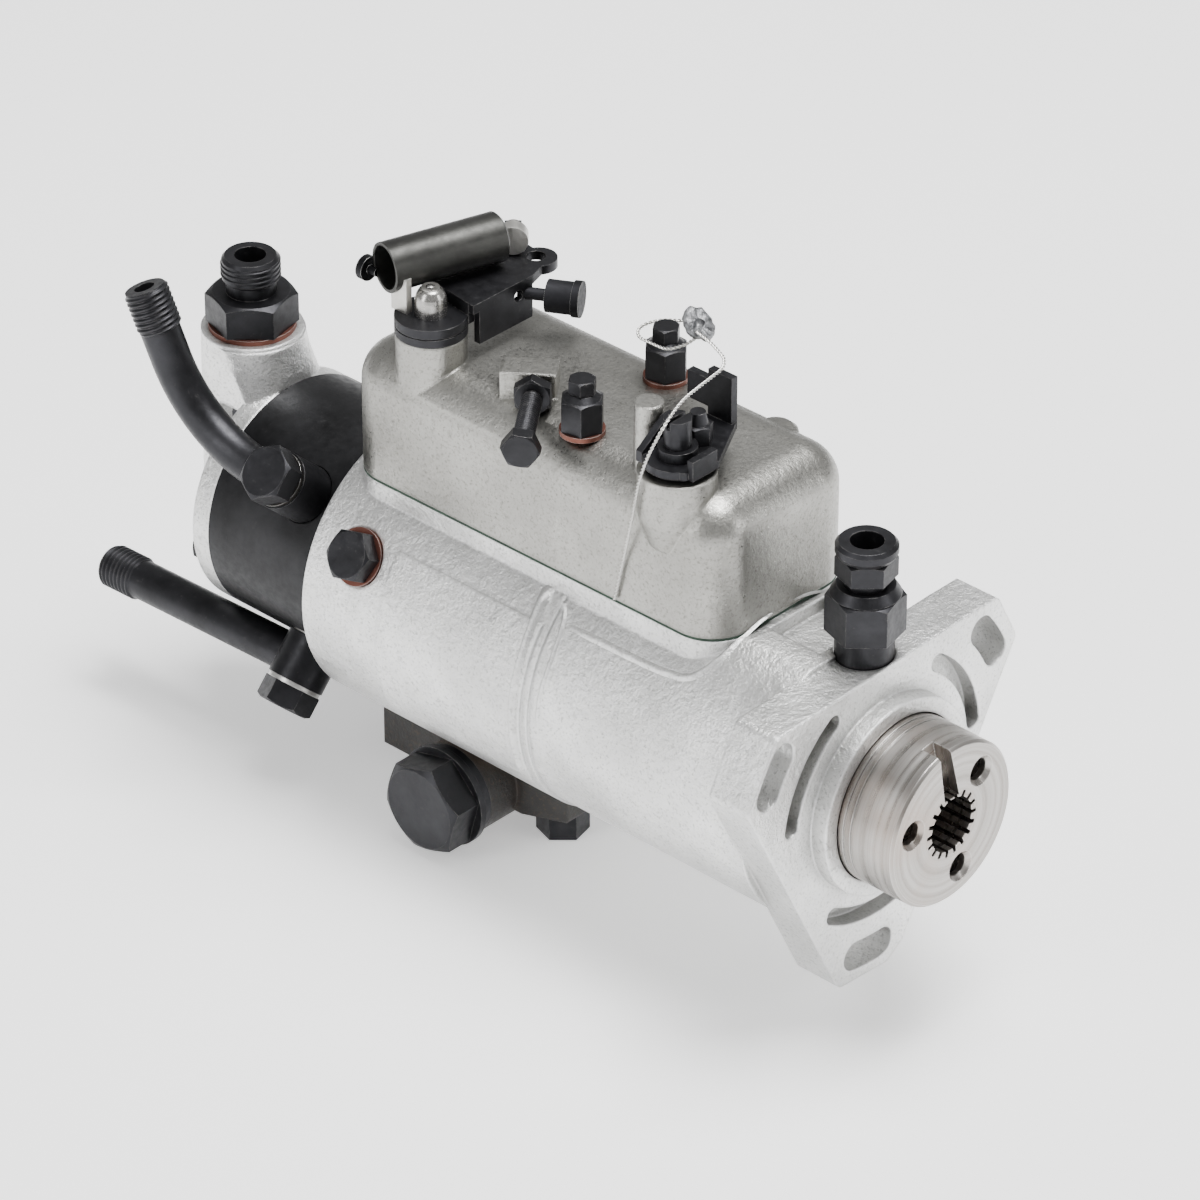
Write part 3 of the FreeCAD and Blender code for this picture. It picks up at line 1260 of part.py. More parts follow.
WIRE_RADIUS = 0.5
TAIL_ROUTE = [
    (-73, 8.5, 101.6), (-66, 6.4, 102), (-56.2, 2.4, 101.6), (-54.4, -9.7, 101.4), (-52.6, -19.2, 101.6),
    (-50, -28.6, 99.4), (-54.4, -29.9, 89), (-57.4, -29.6, 80.6), (-61, -28.3, 67.2), (-65.9, -26, 52.5),
    (-69, -25.9, 39),
]
LOOP_ROUTE = [
    (-76, 13.5, 97.6), (-79.5, 12.5, 93.6), (-85, 10.6, 90.4), (-91, 11.8, 89.4), (-97, 12.6, 88.6),
    (-100.6, 17, 88.4), (-98.5, 22.4, 89), (-92.4, 25, 90),
]


def wire(name, route):
    """A thin wire along straight runs that are joined by tangent arcs."""
    points = [Vector(*spot) for spot in route]
    edges = []
    radii = []
    last = points[0]
    for before, corner, after in zip(points, points[1:], points[2:]):
        into = corner - before
        onward = after - corner
        turn = into.getAngle(onward)
        radius = 0.45 * min(into.Length, onward.Length) / math.tan(turn / 2)
        trim = radius * math.tan(turn / 2)
        into.normalize()
        onward.normalize()
        first = corner - into * trim
        second = corner + onward * trim
        bisector = (onward - into).normalize()
        middle = corner + bisector * (radius / math.cos(turn / 2) - radius)
        edges.append(Part.LineSegment(last, first).toShape())
        edges.append(Part.Arc(first, middle, second).toShape())
        last = second
        radii.append(radius)
    edges.append(Part.LineSegment(last, points[-1]).toShape())
    path = Part.Wire(edges)
    ring = Part.Wire([Part.Circle(points[0], points[1] - points[0], WIRE_RADIUS).toShape()])
    tube = path.makePipeShell([ring], True, False)
    share = tube.Volume / (math.pi * WIRE_RADIUS ** 2 * path.Length)
    print(name, "length %.1f" % path.Length, "volume share %.3f" % share,
          "radii", " ".join("%.1f" % radius for radius in radii))
    return piece(name, solid(name + "_tube", tube))


def seal():
    wire("seal_wire_tail", TAIL_ROUTE)
    wire("seal_wire_loop", LOOP_ROUTE)
    way = Vector(0.62, -0.5, 0.6)
    centre = Vector(-75.9, 12.5, 101.6)
    disc = turned("seal_disc", [(0, 0), (3.6, 0), (4, 0.7), (4, 1.5), (3.6, 2.2), (0, 2.2)], (0, 0, 0), way)
    disc.Placement.Base = centre
    piece("lead_seal", disc)


def failed(item):
    return [state for state in item.State if state in ("Invalid", "Error")]


def write_pieces():
    doc.recompute()
    for item in doc.Objects:
        if failed(item):
            raise RuntimeError("%s failed: %s" % (item.Name, item.State))
    os.makedirs("parts", exist_ok=True)
    for label, item in pieces.items():
        shape = item.Shape
        if shape.isNull() or not shape.isValid() or not shape.Solids:
            raise RuntimeError("%s has no valid solid" % label)
        shape.exportStep("parts/%s.step" % label)
    print(len(pieces), "pieces written")


pump_housing()
small_screws = housing_parts()
governor_cover()
sealing = cover_parts()
leak_off()
hydraulic_head()
outlets()
sealing += end_plate()
sealing += locking_bolt()
piece("cap_screws", group("cap_screw_set", small_screws))
piece("sealing_washers", group("sealing_washer_set", sealing))
advance_device()
drive_hub()
quill_shaft()
weight_carrier()
governor_weights()
thrust_sleeve()
governor_arm()
control_bracket()
metering_parts()
cam_ring()
rotor_parts()
transfer_pump()
regulator_parts()
lever_plate()
piece("shaft_washers", group("shaft_washer_pair", [shutoff_parts(), throttle_parts()]))
idle_screw()
springs()
seal()
write_pieces()
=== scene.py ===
import bpy
import json
import math
from mathutils import Matrix, Vector, noise


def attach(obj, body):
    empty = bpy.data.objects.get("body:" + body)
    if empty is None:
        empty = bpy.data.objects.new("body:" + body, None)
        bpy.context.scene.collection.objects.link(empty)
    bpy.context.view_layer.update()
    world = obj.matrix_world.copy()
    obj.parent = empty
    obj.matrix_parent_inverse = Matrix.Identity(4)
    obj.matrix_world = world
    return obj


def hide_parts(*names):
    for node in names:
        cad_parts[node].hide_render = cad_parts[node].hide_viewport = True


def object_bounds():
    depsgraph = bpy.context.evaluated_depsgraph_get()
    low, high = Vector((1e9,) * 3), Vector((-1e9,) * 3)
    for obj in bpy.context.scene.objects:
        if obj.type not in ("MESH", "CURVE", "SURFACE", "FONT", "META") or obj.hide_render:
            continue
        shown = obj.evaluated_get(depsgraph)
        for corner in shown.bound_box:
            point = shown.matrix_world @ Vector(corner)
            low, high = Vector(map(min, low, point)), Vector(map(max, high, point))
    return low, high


# Looks of the rotary injection pump, in the frame of the CAD model: +X out of the drive end,
# +Z up to the governor cover, -Y the side of the idle screw. Pieces, routes and widths of edges
# are written in millimetres and scaled by MM; camera, floor and lights are in metres.

MM = 0.001

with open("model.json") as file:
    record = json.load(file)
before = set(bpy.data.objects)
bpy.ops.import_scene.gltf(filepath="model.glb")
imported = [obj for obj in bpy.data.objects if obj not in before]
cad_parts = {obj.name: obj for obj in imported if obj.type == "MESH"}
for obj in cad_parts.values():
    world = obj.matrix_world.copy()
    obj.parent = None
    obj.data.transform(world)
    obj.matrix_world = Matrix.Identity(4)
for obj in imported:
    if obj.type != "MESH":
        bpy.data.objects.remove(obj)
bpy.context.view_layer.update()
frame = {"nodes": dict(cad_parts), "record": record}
nodes = frame["nodes"]


# Camera, at the photograph's angle

CAMERA_PLACE = Vector((0.8804, -1.0433, 0.9285))
CAMERA_RIGHT = Vector((0.7293, 0.6842, 0.0))
CAMERA_UP = Vector((-0.3685, 0.3928, 0.8425))
CAMERA_BACK = Vector((0.5764, -0.6144, 0.5386))
CAMERA_LENS = 195.0
SENSOR_WIDTH = 36.0
CLIP_END = 20.0


def make_camera():
    data = bpy.data.cameras.new("camera")
    data.lens = CAMERA_LENS
    data.sensor_width = SENSOR_WIDTH
    data.clip_end = CLIP_END
    camera = bpy.data.objects.new("camera", data)
    bpy.context.scene.collection.objects.link(camera)
    turn = Matrix((CAMERA_RIGHT, CAMERA_UP, CAMERA_BACK)).transposed()
    camera.matrix_world = Matrix.Translation(CAMERA_PLACE) @ turn.to_4x4()
    bpy.context.scene.camera = camera


# Materials

# Product of the true and the rounded normal: on an even face, and on an edge worn bare
EVEN_FACE = 0.998
WORN_EDGE = 0.86
# Ambient occlusion, the mask of the painted shade in corners: in the open, and deep in a corner
OPEN_FACE = 0.85
DEEP_CORNER = 0.25
OCCLUSION_SAMPLES = 6


class Shader:
    """A material whose nodes are added one by one, each by a short call."""

    def __init__(self, name):
        self.material = bpy.data.materials.new(name)
        self.material.use_nodes = True
        self.nodes = self.material.node_tree.nodes
        self.links = self.material.node_tree.links
        self.main = self.nodes["Principled BSDF"]
        coordinates = self.nodes.new("ShaderNodeTexCoord")
        self.place = coordinates.outputs["Object"]
        self.facing = coordinates.outputs["Normal"]

    def join(self, value, target):
        if isinstance(value, (int, float)):
            target.default_value = value
        elif isinstance(value, (tuple, list)):
            target.default_value = (*value, 1.0)
        else:
            self.links.new(value, target)

    def noise(self, scale, detail=4.0, roughness=0.55, stretch=None):
        node = self.nodes.new("ShaderNodeTexNoise")
        node.inputs["Scale"].default_value = scale
        node.inputs["Detail"].default_value = detail
        node.inputs["Roughness"].default_value = roughness
        self.join(self.stretched(stretch) if stretch else self.place, node.inputs["Vector"])
        return node.outputs["Fac"]

    def lines(self, value, scale, detail):
        """Noise along one value, such as the radius: uneven parallel lines."""
        node = self.nodes.new("ShaderNodeTexNoise")
        node.noise_dimensions = "1D"
        node.inputs["Scale"].default_value = scale
        node.inputs["Detail"].default_value = detail
        self.join(value, node.inputs["W"])
        return node.outputs["Fac"]

    def stretched(self, stretch):
        mapping = self.nodes.new("ShaderNodeMapping")
        mapping.inputs["Scale"].default_value = stretch
        self.join(self.place, mapping.inputs["Vector"])
        return mapping.outputs["Vector"]

    def ramp(self, value, low, high, from_value=0.0, to_value=1.0):
        """From one value to another while the input goes from low to high."""
        node = self.nodes.new("ShaderNodeMapRange")
        node.inputs["From Min"].default_value = low
        node.inputs["From Max"].default_value = high
        node.inputs["To Min"].default_value = from_value
        node.inputs["To Max"].default_value = to_value
        self.join(value, node.inputs["Value"])
        return node.outputs["Result"]

    def math(self, kind, first, second=0.0):
        node = self.nodes.new("ShaderNodeMath")
        node.operation = kind
        self.join(first, node.inputs[0])
        self.join(second, node.inputs[1])
        return node.outputs["Value"]

    def mix(self, share, first, second):
        node = self.nodes.new("ShaderNodeMix")
        node.data_type = "RGBA"
        self.join(share, node.inputs["Factor"])
        first_socket, second_socket = [socket for socket in node.inputs if socket.type == "RGBA"]
        self.join(first, first_socket)
        self.join(second, second_socket)
        return [socket for socket in node.outputs if socket.type == "RGBA"][0]

    def axes(self, source=None):
        node = self.nodes.new("ShaderNodeSeparateXYZ")
        self.join(source or self.place, node.inputs["Vector"])
        return node.outputs

    def edge_wear(self, radius):
        """High where the surface turns sharply, from the difference of two normals."""
        bevel = self.nodes.new("ShaderNodeBevel")
        bevel.inputs["Radius"].default_value = radius
        geometry = self.nodes.new("ShaderNodeNewGeometry")
        product = self.nodes.new("ShaderNodeVectorMath")
        product.operation = "DOT_PRODUCT"
        self.join(bevel.outputs["Normal"], product.inputs[0])
        self.join(geometry.outputs["Normal"], product.inputs[1])
        return self.ramp(product.outputs["Value"], EVEN_FACE, WORN_EDGE)

    def corner_shade_mask(self, reach):
        """High in corners and under ledges, from ambient occlusion: the mask for painted shade."""
        node = self.nodes.new("ShaderNodeAmbientOcclusion")
        node.samples = OCCLUSION_SAMPLES
        node.inputs["Distance"].default_value = reach
        return self.ramp(node.outputs["AO"], OPEN_FACE, DEEP_CORNER)

    def rubbed(self, tone, radius, share, bare):
        """The tone with a share of bare metal on its edges."""
        return self.mix(self.math("MULTIPLY", self.edge_wear(radius), share), tone, bare)

    def shade_corners(self, tone, reach, share, dirt_and_shade):
        """The tone with a share of a dark colour painted into its occluded corners: painted shade, in
        the colour of dirt.
        """
        return self.mix(self.math("MULTIPLY", self.corner_shade_mask(reach), share), tone, dirt_and_shade)

    def relief(self, heights, radius):
        """Bumps of several heights, in metres, over softened edges."""
        bevel = self.nodes.new("ShaderNodeBevel")
        bevel.inputs["Radius"].default_value = radius
        normal = bevel.outputs["Normal"]
        for height, deep in heights:
            bump = self.nodes.new("ShaderNodeBump")
            bump.inputs["Strength"].default_value = 1.0
            bump.inputs["Distance"].default_value = deep
            self.join(height, bump.inputs["Height"])
            self.join(normal, bump.inputs["Normal"])
            normal = bump.outputs["Normal"]
        self.join(normal, self.main.inputs["Normal"])

    def finish(self, color, roughness, metallic):
        self.join(color, self.main.inputs["Base Color"])
        self.join(roughness, self.main.inputs["Roughness"])
        self.main.inputs["Metallic"].default_value = metallic
        return self.material


def scaled(color, share):
    return tuple(min(1.0, channel * share) for channel in color)


X_AXIS = 0
Z_AXIS = 2
OXIDE_METALLIC = 0.8
METALLIC = 0.95
END_FACING = 0.7    # how much of its normal an end face has along the axis


def casting(name, light, dark, dirt_and_shade, metallic, roughness, grain):
    """Shot-blasted casting: speckled grain, broad stains, painted shade and dirt in its corners, and
    rubbed edges.
    """
    shader = Shader(name)
    cloud = shader.noise(26.0, 5.0, 0.6)
    blotch = shader.noise(150.0, 5.0, 0.65)
    pebble = shader.noise(420.0, 3.0, 0.6)
    speck = shader.noise(1150.0, 3.0, 0.65)
    fine = shader.noise(3200.0, 2.0, 0.6)
    tone = shader.mix(shader.ramp(cloud, 0.36, 0.64), dark, light)
    tone = shader.mix(shader.ramp(blotch, 0.50, 0.70, to_value=0.35), tone, dark)
    tone = shader.mix(shader.ramp(speck, 0.54, 0.70, to_value=0.55), tone, dirt_and_shade)
    tone = shader.mix(shader.ramp(pebble, 0.60, 0.74, to_value=0.35), tone, dirt_and_shade)
    # Painted shade: the dirt colour is put into the corners that ambient occlusion finds.
    tone = shader.shade_corners(tone, 6 * MM, 0.75, dirt_and_shade)
    tone = shader.rubbed(tone, 0.9 * MM, 0.6, scaled(light, 1.4))
    rough = shader.ramp(speck, 0.3, 0.75, roughness - 0.08, roughness + 0.16)
    heights = ((blotch, grain * 0.25 * MM), (pebble, grain * 0.22 * MM),
               (speck, grain * 0.14 * MM), (fine, grain * 0.04 * MM))
    shader.relief(heights, 1.1 * MM)
    return shader.finish(tone, rough, metallic)


def blackened(name, base, bare, roughness, edge_share=0.5, edge=0.3):
    """Oxide-black steel: faint mottling, oily sheen, and bare metal where edges rub."""
    shader = Shader(name)
    cloud = shader.noise(70.0, 5.0)
    grime = shader.noise(480.0, 4.0, 0.65)
    tone = shader.mix(shader.ramp(cloud, 0.35, 0.7), base, scaled(base, 2.0))
    tone = shader.mix(shader.ramp(grime, 0.62, 0.78, to_value=0.3), tone, scaled(bare, 0.35))
    wear = shader.math("MULTIPLY", shader.edge_wear(edge * MM), shader.ramp(grime, 0.4, 0.62))
    tone = shader.mix(shader.math("MULTIPLY", wear, edge_share), tone, bare)
    rough = shader.ramp(grime, 0.3, 0.75, roughness - 0.08, roughness + 0.14)
    shader.relief(((grime, 0.03 * MM), (shader.noise(3000.0, 2.0), 0.008 * MM)), edge * MM)
    return shader.finish(tone, rough, OXIDE_METALLIC)


def machined(name, base, stain, roughness, edge=0.25, split=None):
    """Plain metal. A split is (axis, limit, base, stain, added roughness) for what lies beyond."""
    shader = Shader(name)
    cloud = shader.noise(55.0, 5.0)
    scratch = shader.noise(900.0, 4.0, 0.6, stretch=(0.2, 1.0, 1.0))
    tone = shader.mix(shader.ramp(cloud, 0.4, 0.75, to_value=0.6), base, stain)
    if split:
        axis, limit, far_base, far_stain, coarser = split
        far_tone = shader.mix(shader.ramp(cloud, 0.4, 0.75), far_base, far_stain)
        beyond = shader.math("GREATER_THAN", shader.axes()[axis], limit * MM)
        tone = shader.mix(beyond, tone, far_tone)
    tone = shader.rubbed(tone, edge * MM, 0.4, (0.8, 0.8, 0.78))
    rough = shader.ramp(scratch, 0.3, 0.7, roughness - 0.06, roughness + 0.12)
    if split:
        rough = shader.math("ADD", rough, shader.math("MULTIPLY", beyond, coarser))
    shader.relief(((scratch, 0.012 * MM), (shader.noise(2400.0, 2.0), 0.006 * MM)), edge * MM)
    return shader.finish(tone, rough, METALLIC)


def lathe_turned(name, base, dark, warm, roughness):
    """Steel turned about the drive axis: lines round its sides and rings on its end face."""
    shader = Shader(name)
    along, across, upward = shader.axes()
    squares = shader.math("ADD", shader.math("POWER", across, 2.0), shader.math("POWER", upward, 2.0))
    reach = shader.math("SQRT", squares)
    facing_along = shader.math("ABSOLUTE", shader.axes(shader.facing)[X_AXIS])
    end_face = shader.math("GREATER_THAN", facing_along, END_FACING)
    swap = shader.nodes.new("ShaderNodeMix")
    shader.join(end_face, swap.inputs["Factor"])
    shader.join(along, swap.inputs["A"])
    shader.join(reach, swap.inputs["B"])
    step = swap.outputs["Result"]
    fine = shader.lines(step, 5200.0, 2.0)
    broad = shader.lines(step, 420.0, 3.0)
    cloud = shader.noise(60.0)
    tone = shader.mix(shader.ramp(broad, 0.35, 0.65), dark, base)
    tone = shader.mix(shader.ramp(cloud, 0.45, 0.75, to_value=0.7), tone, warm)
    tone = shader.mix(shader.ramp(fine, 0.4, 0.6, to_value=0.25), tone, dark)
    # Painted shade: a dark brown is put into the corners that ambient occlusion finds.
    tone = shader.shade_corners(tone, 3 * MM, 0.7, (0.06, 0.04, 0.03))
    tone = shader.rubbed(tone, 0.35 * MM, 0.6, (0.85, 0.84, 0.82))
    rough = shader.ramp(broad, 0.3, 0.7, roughness - 0.05, roughness + 0.1)
    shader.relief(((fine, 0.018 * MM), (broad, 0.02 * MM)), 0.35 * MM)
    return shader.finish(tone, rough, METALLIC)


def coated(name, base, dark, roughness, metallic=0.0, scale=300.0, lumps=0.03):
    """A plain skin with a faint grain: sheet gasket, rubber or pressed lead."""
    shader = Shader(name)
    cloud = shader.noise(scale)
    grain = shader.noise(scale * 4, 3.0, 0.7)
    tone = shader.mix(shader.ramp(cloud, 0.3, 0.7), dark, base)
    tone = shader.rubbed(tone, 0.25 * MM, 0.3, scaled(base, 1.4))
    rough = shader.ramp(grain, 0.3, 0.7, roughness - 0.08, roughness + 0.1)
    shader.relief(((cloud, lumps * MM), (grain, lumps * 0.4 * MM)), 0.25 * MM)
    return shader.finish(tone, rough, metallic)


BLACK = (0.018, 0.018, 0.02)

# What makes each finish, and with what. The last three are the nodes' own, not a slot's: their
# small parts have two finishes, told apart by where they stand.
OWN_FINISH = ("lever_fasteners", "tube_fittings", "banjo_washers")
FINISHES = {
    # A casting's dirt colour is the colour of its specks and also of its painted shade in corners.
    "housing_casting": (casting, dict(
        light=(0.84, 0.84, 0.83), dark=(0.60, 0.60, 0.59), dirt_and_shade=(0.22, 0.22, 0.21),
        metallic=0.9, roughness=0.36, grain=1.25)),
    "cover_casting": (casting, dict(
        light=(0.40, 0.395, 0.37), dark=(0.29, 0.285, 0.265), dirt_and_shade=(0.13, 0.125, 0.11),
        metallic=0.95, roughness=0.34, grain=0.6)),
    "gasket_sheet": (coated, dict(
        base=(0.03, 0.06, 0.04), dark=(0.015, 0.03, 0.02), roughness=0.8)),
    "black_steel": (blackened, dict(
        base=BLACK, bare=(0.30, 0.29, 0.28), roughness=0.38)),
    "black_head": (blackened, dict(
        base=(0.014, 0.014, 0.015), bare=(0.16, 0.16, 0.16), roughness=0.42, edge_share=0.3)),
    "copper_washer": (machined, dict(
        base=(0.19, 0.08, 0.06), stain=(0.10, 0.038, 0.03), roughness=0.45)),
    "plain_steel": (machined, dict(
        base=(0.36, 0.35, 0.33), stain=(0.24, 0.22, 0.20), roughness=0.33)),
    "bright_steel": (lathe_turned, dict(
        base=(0.47, 0.45, 0.43), dark=(0.30, 0.28, 0.26), warm=(0.38, 0.30, 0.25), roughness=0.27)),
    "dark_iron": (casting, dict(
        light=(0.05, 0.048, 0.046), dark=(0.03, 0.029, 0.028), dirt_and_shade=(0.09, 0.065, 0.05),
        metallic=0.6, roughness=0.42, grain=0.7)),
    "spring_steel": (machined, dict(
        base=(0.30, 0.29, 0.27), stain=(0.18, 0.17, 0.16), roughness=0.3)),
    "bearing_bronze": (machined, dict(
        base=(0.58, 0.42, 0.22), stain=(0.40, 0.28, 0.14), roughness=0.34)),
    "seal_rubber": (coated, dict(
        base=(0.025, 0.025, 0.025), dark=(0.012, 0.012, 0.012), roughness=0.6)),
    "zinc_steel": (machined, dict(
        base=(0.62, 0.62, 0.60), stain=(0.42, 0.42, 0.39), roughness=0.27)),
    "lead": (coated, dict(
        base=(0.36, 0.365, 0.375), dark=(0.09, 0.092, 0.096),
        roughness=0.34, metallic=0.9, scale=620.0, lumps=0.3)),
    "wire_steel": (machined, dict(
        base=(0.80, 0.79, 0.76), stain=(0.55, 0.54, 0.50), roughness=0.3, edge=0.05)),
    "olive_steel": (blackened, dict(
        base=(0.03, 0.03, 0.028), bare=(0.25, 0.25, 0.24), roughness=0.36, edge_share=0.35)),
    "lever_fasteners": (machined, dict(
        base=(0.44, 0.43, 0.41), stain=(0.16, 0.155, 0.15), roughness=0.22,
        split=(X_AXIS, -138, BLACK, scaled(BLACK, 2.0), 0.35))),
    "tube_fittings": (machined, dict(
        base=BLACK, stain=scaled(BLACK, 2.0), roughness=0.36,
        split=(X_AXIS, -158, (0.60, 0.59, 0.56), (0.42, 0.41, 0.38), 0.0))),
    "banjo_washers": (machined, dict(
        base=(0.62, 0.61, 0.59), stain=(0.45, 0.44, 0.42), roughness=0.34,
        split=(Z_AXIS, 0, (0.06, 0.055, 0.05), (0.035, 0.032, 0.03), 0.0))),
}
materials = {name: make(name, **values) for name, (make, values) in FINISHES.items()}


# Dressing of the CAD nodes

SHARP_ANGLE = 28
WELD_DISTANCE = 0.001 * MM


def smooth_tree():
    """A node group for smooth faces, with the edges over SHARP_ANGLE, in degrees, kept sharp."""
    tree = bpy.data.node_groups.new("smooth by angle", "GeometryNodeTree")
    tree.interface.new_socket("Geometry", in_out="INPUT", socket_type="NodeSocketGeometry")
    tree.interface.new_socket("Geometry", in_out="OUTPUT", socket_type="NodeSocketGeometry")
    first = tree.nodes.new("NodeGroupInput")
    last = tree.nodes.new("NodeGroupOutput")
    faces = tree.nodes.new("GeometryNodeSetShadeSmooth")
    faces.domain = "FACE"
    edges = tree.nodes.new("GeometryNodeSetShadeSmooth")
    edges.domain = "EDGE"
    turn = tree.nodes.new("GeometryNodeInputMeshEdgeAngle")
    limit = tree.nodes.new("FunctionNodeCompare")
    limit.operation = "LESS_THAN"
    limit.inputs["B"].default_value = math.radians(SHARP_ANGLE)
    tree.links.new(first.outputs[0], faces.inputs["Geometry"])
    tree.links.new(faces.outputs[0], edges.inputs["Geometry"])
    tree.links.new(turn.outputs["Unsigned Angle"], limit.inputs["A"])
    tree.links.new(limit.outputs["Result"], edges.inputs["Shade Smooth"])
    tree.links.new(edges.outputs[0], last.inputs[0])
    return tree


smooth_by_angle = smooth_tree()


def dress(name, slot):
    """Gives a node its finish, with rounded shading that keeps its sharp edges."""
    node = nodes[name]
    finish = materials[name if name in OWN_FINISH else slot]
    if not node.material_slots:
        node.data.materials.append(finish)
    for place in node.material_slots:
        place.material = finish
    weld = node.modifiers.new("weld", "WELD")
    weld.merge_threshold = WELD_DISTANCE
    shade = node.modifiers.new("smooth", "NODES")
    shade.node_group = smooth_by_angle


# Pieces built here

def add_piece(name, vertices, faces, slot, body="pump"):
    mesh = bpy.data.meshes.new(name)
    mesh.from_pydata([Vector(vertex) * MM for vertex in vertices], [], faces)
    mesh.validate()
    mesh.polygons.foreach_set("use_smooth", [True] * len(mesh.polygons))
    mesh.materials.append(materials[slot])
    piece = bpy.data.objects.new(name, mesh)
    bpy.context.scene.collection.objects.link(piece)
    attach(piece, body)
    return piece


def ring_faces(rings, sides, closed=True):
    """Quads between rings of points, each with the same number of sides."""
    faces = []
    for ring in range(rings - 1):
        for side in range(sides):
            after = (side + 1) % sides
            low = ring * sides
            faces.append((low + side, low + after, low + sides + after, low + sides + side))
    if closed:
        faces.append(tuple(reversed(range(sides))))
        faces.append(tuple(range((rings - 1) * sides, rings * sides)))
    return faces


def frame_of(way):
    """Two directions square to a given one, and to each other."""
    across = way.orthogonal().normalized()
    return across, way.cross(across).normalized()


def around(across, over, sides):
    """Directions spread evenly round a circle."""
    angles = [2 * math.pi * side / sides for side in range(sides)]
    return [across * math.cos(angle) + over * math.sin(angle) for angle in angles]


# Threads: start, direction, length, core radius, crest radius, pitch
IDLE_WAY = Vector((0.6, -0.8, 0))
IDLE_FACE = Vector((-107.9, -14.5, 79.7))
IDLE_THREAD_START = 4.2
THREADS = {
    "outlet_thread_1": ((-227.6, -33.02, 58.66), (-0.342, -0.098, 0.935), 11.9, 5.55, 6.15, 1.5),
    "outlet_thread_2": ((-244.98, -27.58, -30.63), (-1.0, -0.014, -0.016), 11.9, 5.55, 6.15, 1.5),
    "outlet_thread_3": ((-244.98, 30.63, -27.58), (-1.0, 0.016, -0.014), 11.9, 5.55, 6.15, 1.5),
    "outlet_thread_4": ((-213.05, 43.83, 20.54), (-0.105, 0.878, -0.467), 8.4, 5.55, 6.15, 1.5),
    "inlet_thread": ((-227, 0, 60.9), (0, 0, 1), 6.2, 7.5, 8.2, 1.5),
    "idle_thread": (IDLE_FACE + IDLE_WAY * IDLE_THREAD_START, IDLE_WAY, 21.4, 2.48, 2.8, 1.0),
}
THREAD_SIDES = 48
STEPS_PER_TURN = 12
FLANK_SLOPE = 1.6
ROOT_FLAT = 0.25
RUN_OUT = 0.5       # pitches over which an end comes down to the core
SLEEVE_WALL = 0.5   # how deep the sleeve goes under the core


def flank_height(phase):
    """Height of the thread's form, from 0 at the root to 1 at its flat crest."""
    return min(1.0, max(0.0, FLANK_SLOPE * (1 - abs(2 * phase - 1)) - ROOT_FLAT))


def screw_thread(name, start, way, length, core, crest, pitch):
    """A sleeve with a real helical thread, its ends turned down to the core."""
    way = Vector(way).normalized()
    ring = around(*frame_of(way), THREAD_SIDES)
    steps = int(length / pitch * STEPS_PER_TURN)
    vertices = []
    for step in range(steps + 1):
        travel = length * step / steps
        ends = min(1.0, travel / (pitch * RUN_OUT), (length - travel) / (pitch * RUN_OUT))
        for side, out in enumerate(ring):
            height = flank_height((travel / pitch - side / THREAD_SIDES) % 1.0)
            radius = core + (crest - core) * height * ends
            vertices.append(Vector(start) + way * travel + out * radius)
    for travel in (length, 0.0):
        vertices += [Vector(start) + way * travel + out * (core - SLEEVE_WALL) for out in ring]
    faces = ring_faces(steps + 3, THREAD_SIDES, closed=False)
    low = (steps + 2) * THREAD_SIDES
    for side in range(THREAD_SIDES):
        after = (side + 1) % THREAD_SIDES
        faces.append((low + side, low + after, after, side))
    return add_piece(name, vertices, faces, "black_steel")


# The lead seal: middle, square direction, one direction in its plane, and reach and lift of each ring
SEAL_MIDDLE = Vector((-75.3, 11.9, 101.5))
SEAL_WAY = Vector((0.66, -0.06, 0.748))
SEAL_ACROSS = Vector((0.751, 0.139, -0.645))
SEAL_RINGS = ((0.4, 1.2), (2.2, 1.25), (3.8, 1.15), (4.8, 0.7), (5.0, 0.0), (4.8, -0.7),
              (3.8, -1.15), (2.2, -1.25), (0.4, -1.2))
SEAL_SIDES = 44
SEAL_OVAL = 0.82
# Its dents and folds by depth, its swollen outline by share, each with the scale of its noise
DENT_DEPTH, DENT_SCALE = 0.9, 0.8
FOLD_DEPTH, FOLD_SCALE = 0.35, 2.1
SWELL_SHARE, SWELL_SCALE = 0.16, 0.45
SWELL_SHIFT = Vector((3.1, 0, 0))
LIFT_EFFECT = 0.4
NECK_SIDES = 12
NECK_START = 0.4
TAIL_NECK_RADIUS = 1.5
LOOP_NECK_RADIUS = 1.6
NECK_END_RADIUS = 0.75


def add_neck(vertices, faces, start, end, radius):
    """Adds a short neck from the seal to a wire's end to a mesh's lists."""
    across, over = frame_of((end - start).normalized())
    first = len(vertices)
    for spot, wide in ((start, radius), (end, NECK_END_RADIUS)):
        vertices += [spot + out * wide for out in around(across, over, NECK_SIDES)]
    faces += [tuple(first + corner for corner in face) for face in ring_faces(2, NECK_SIDES)]


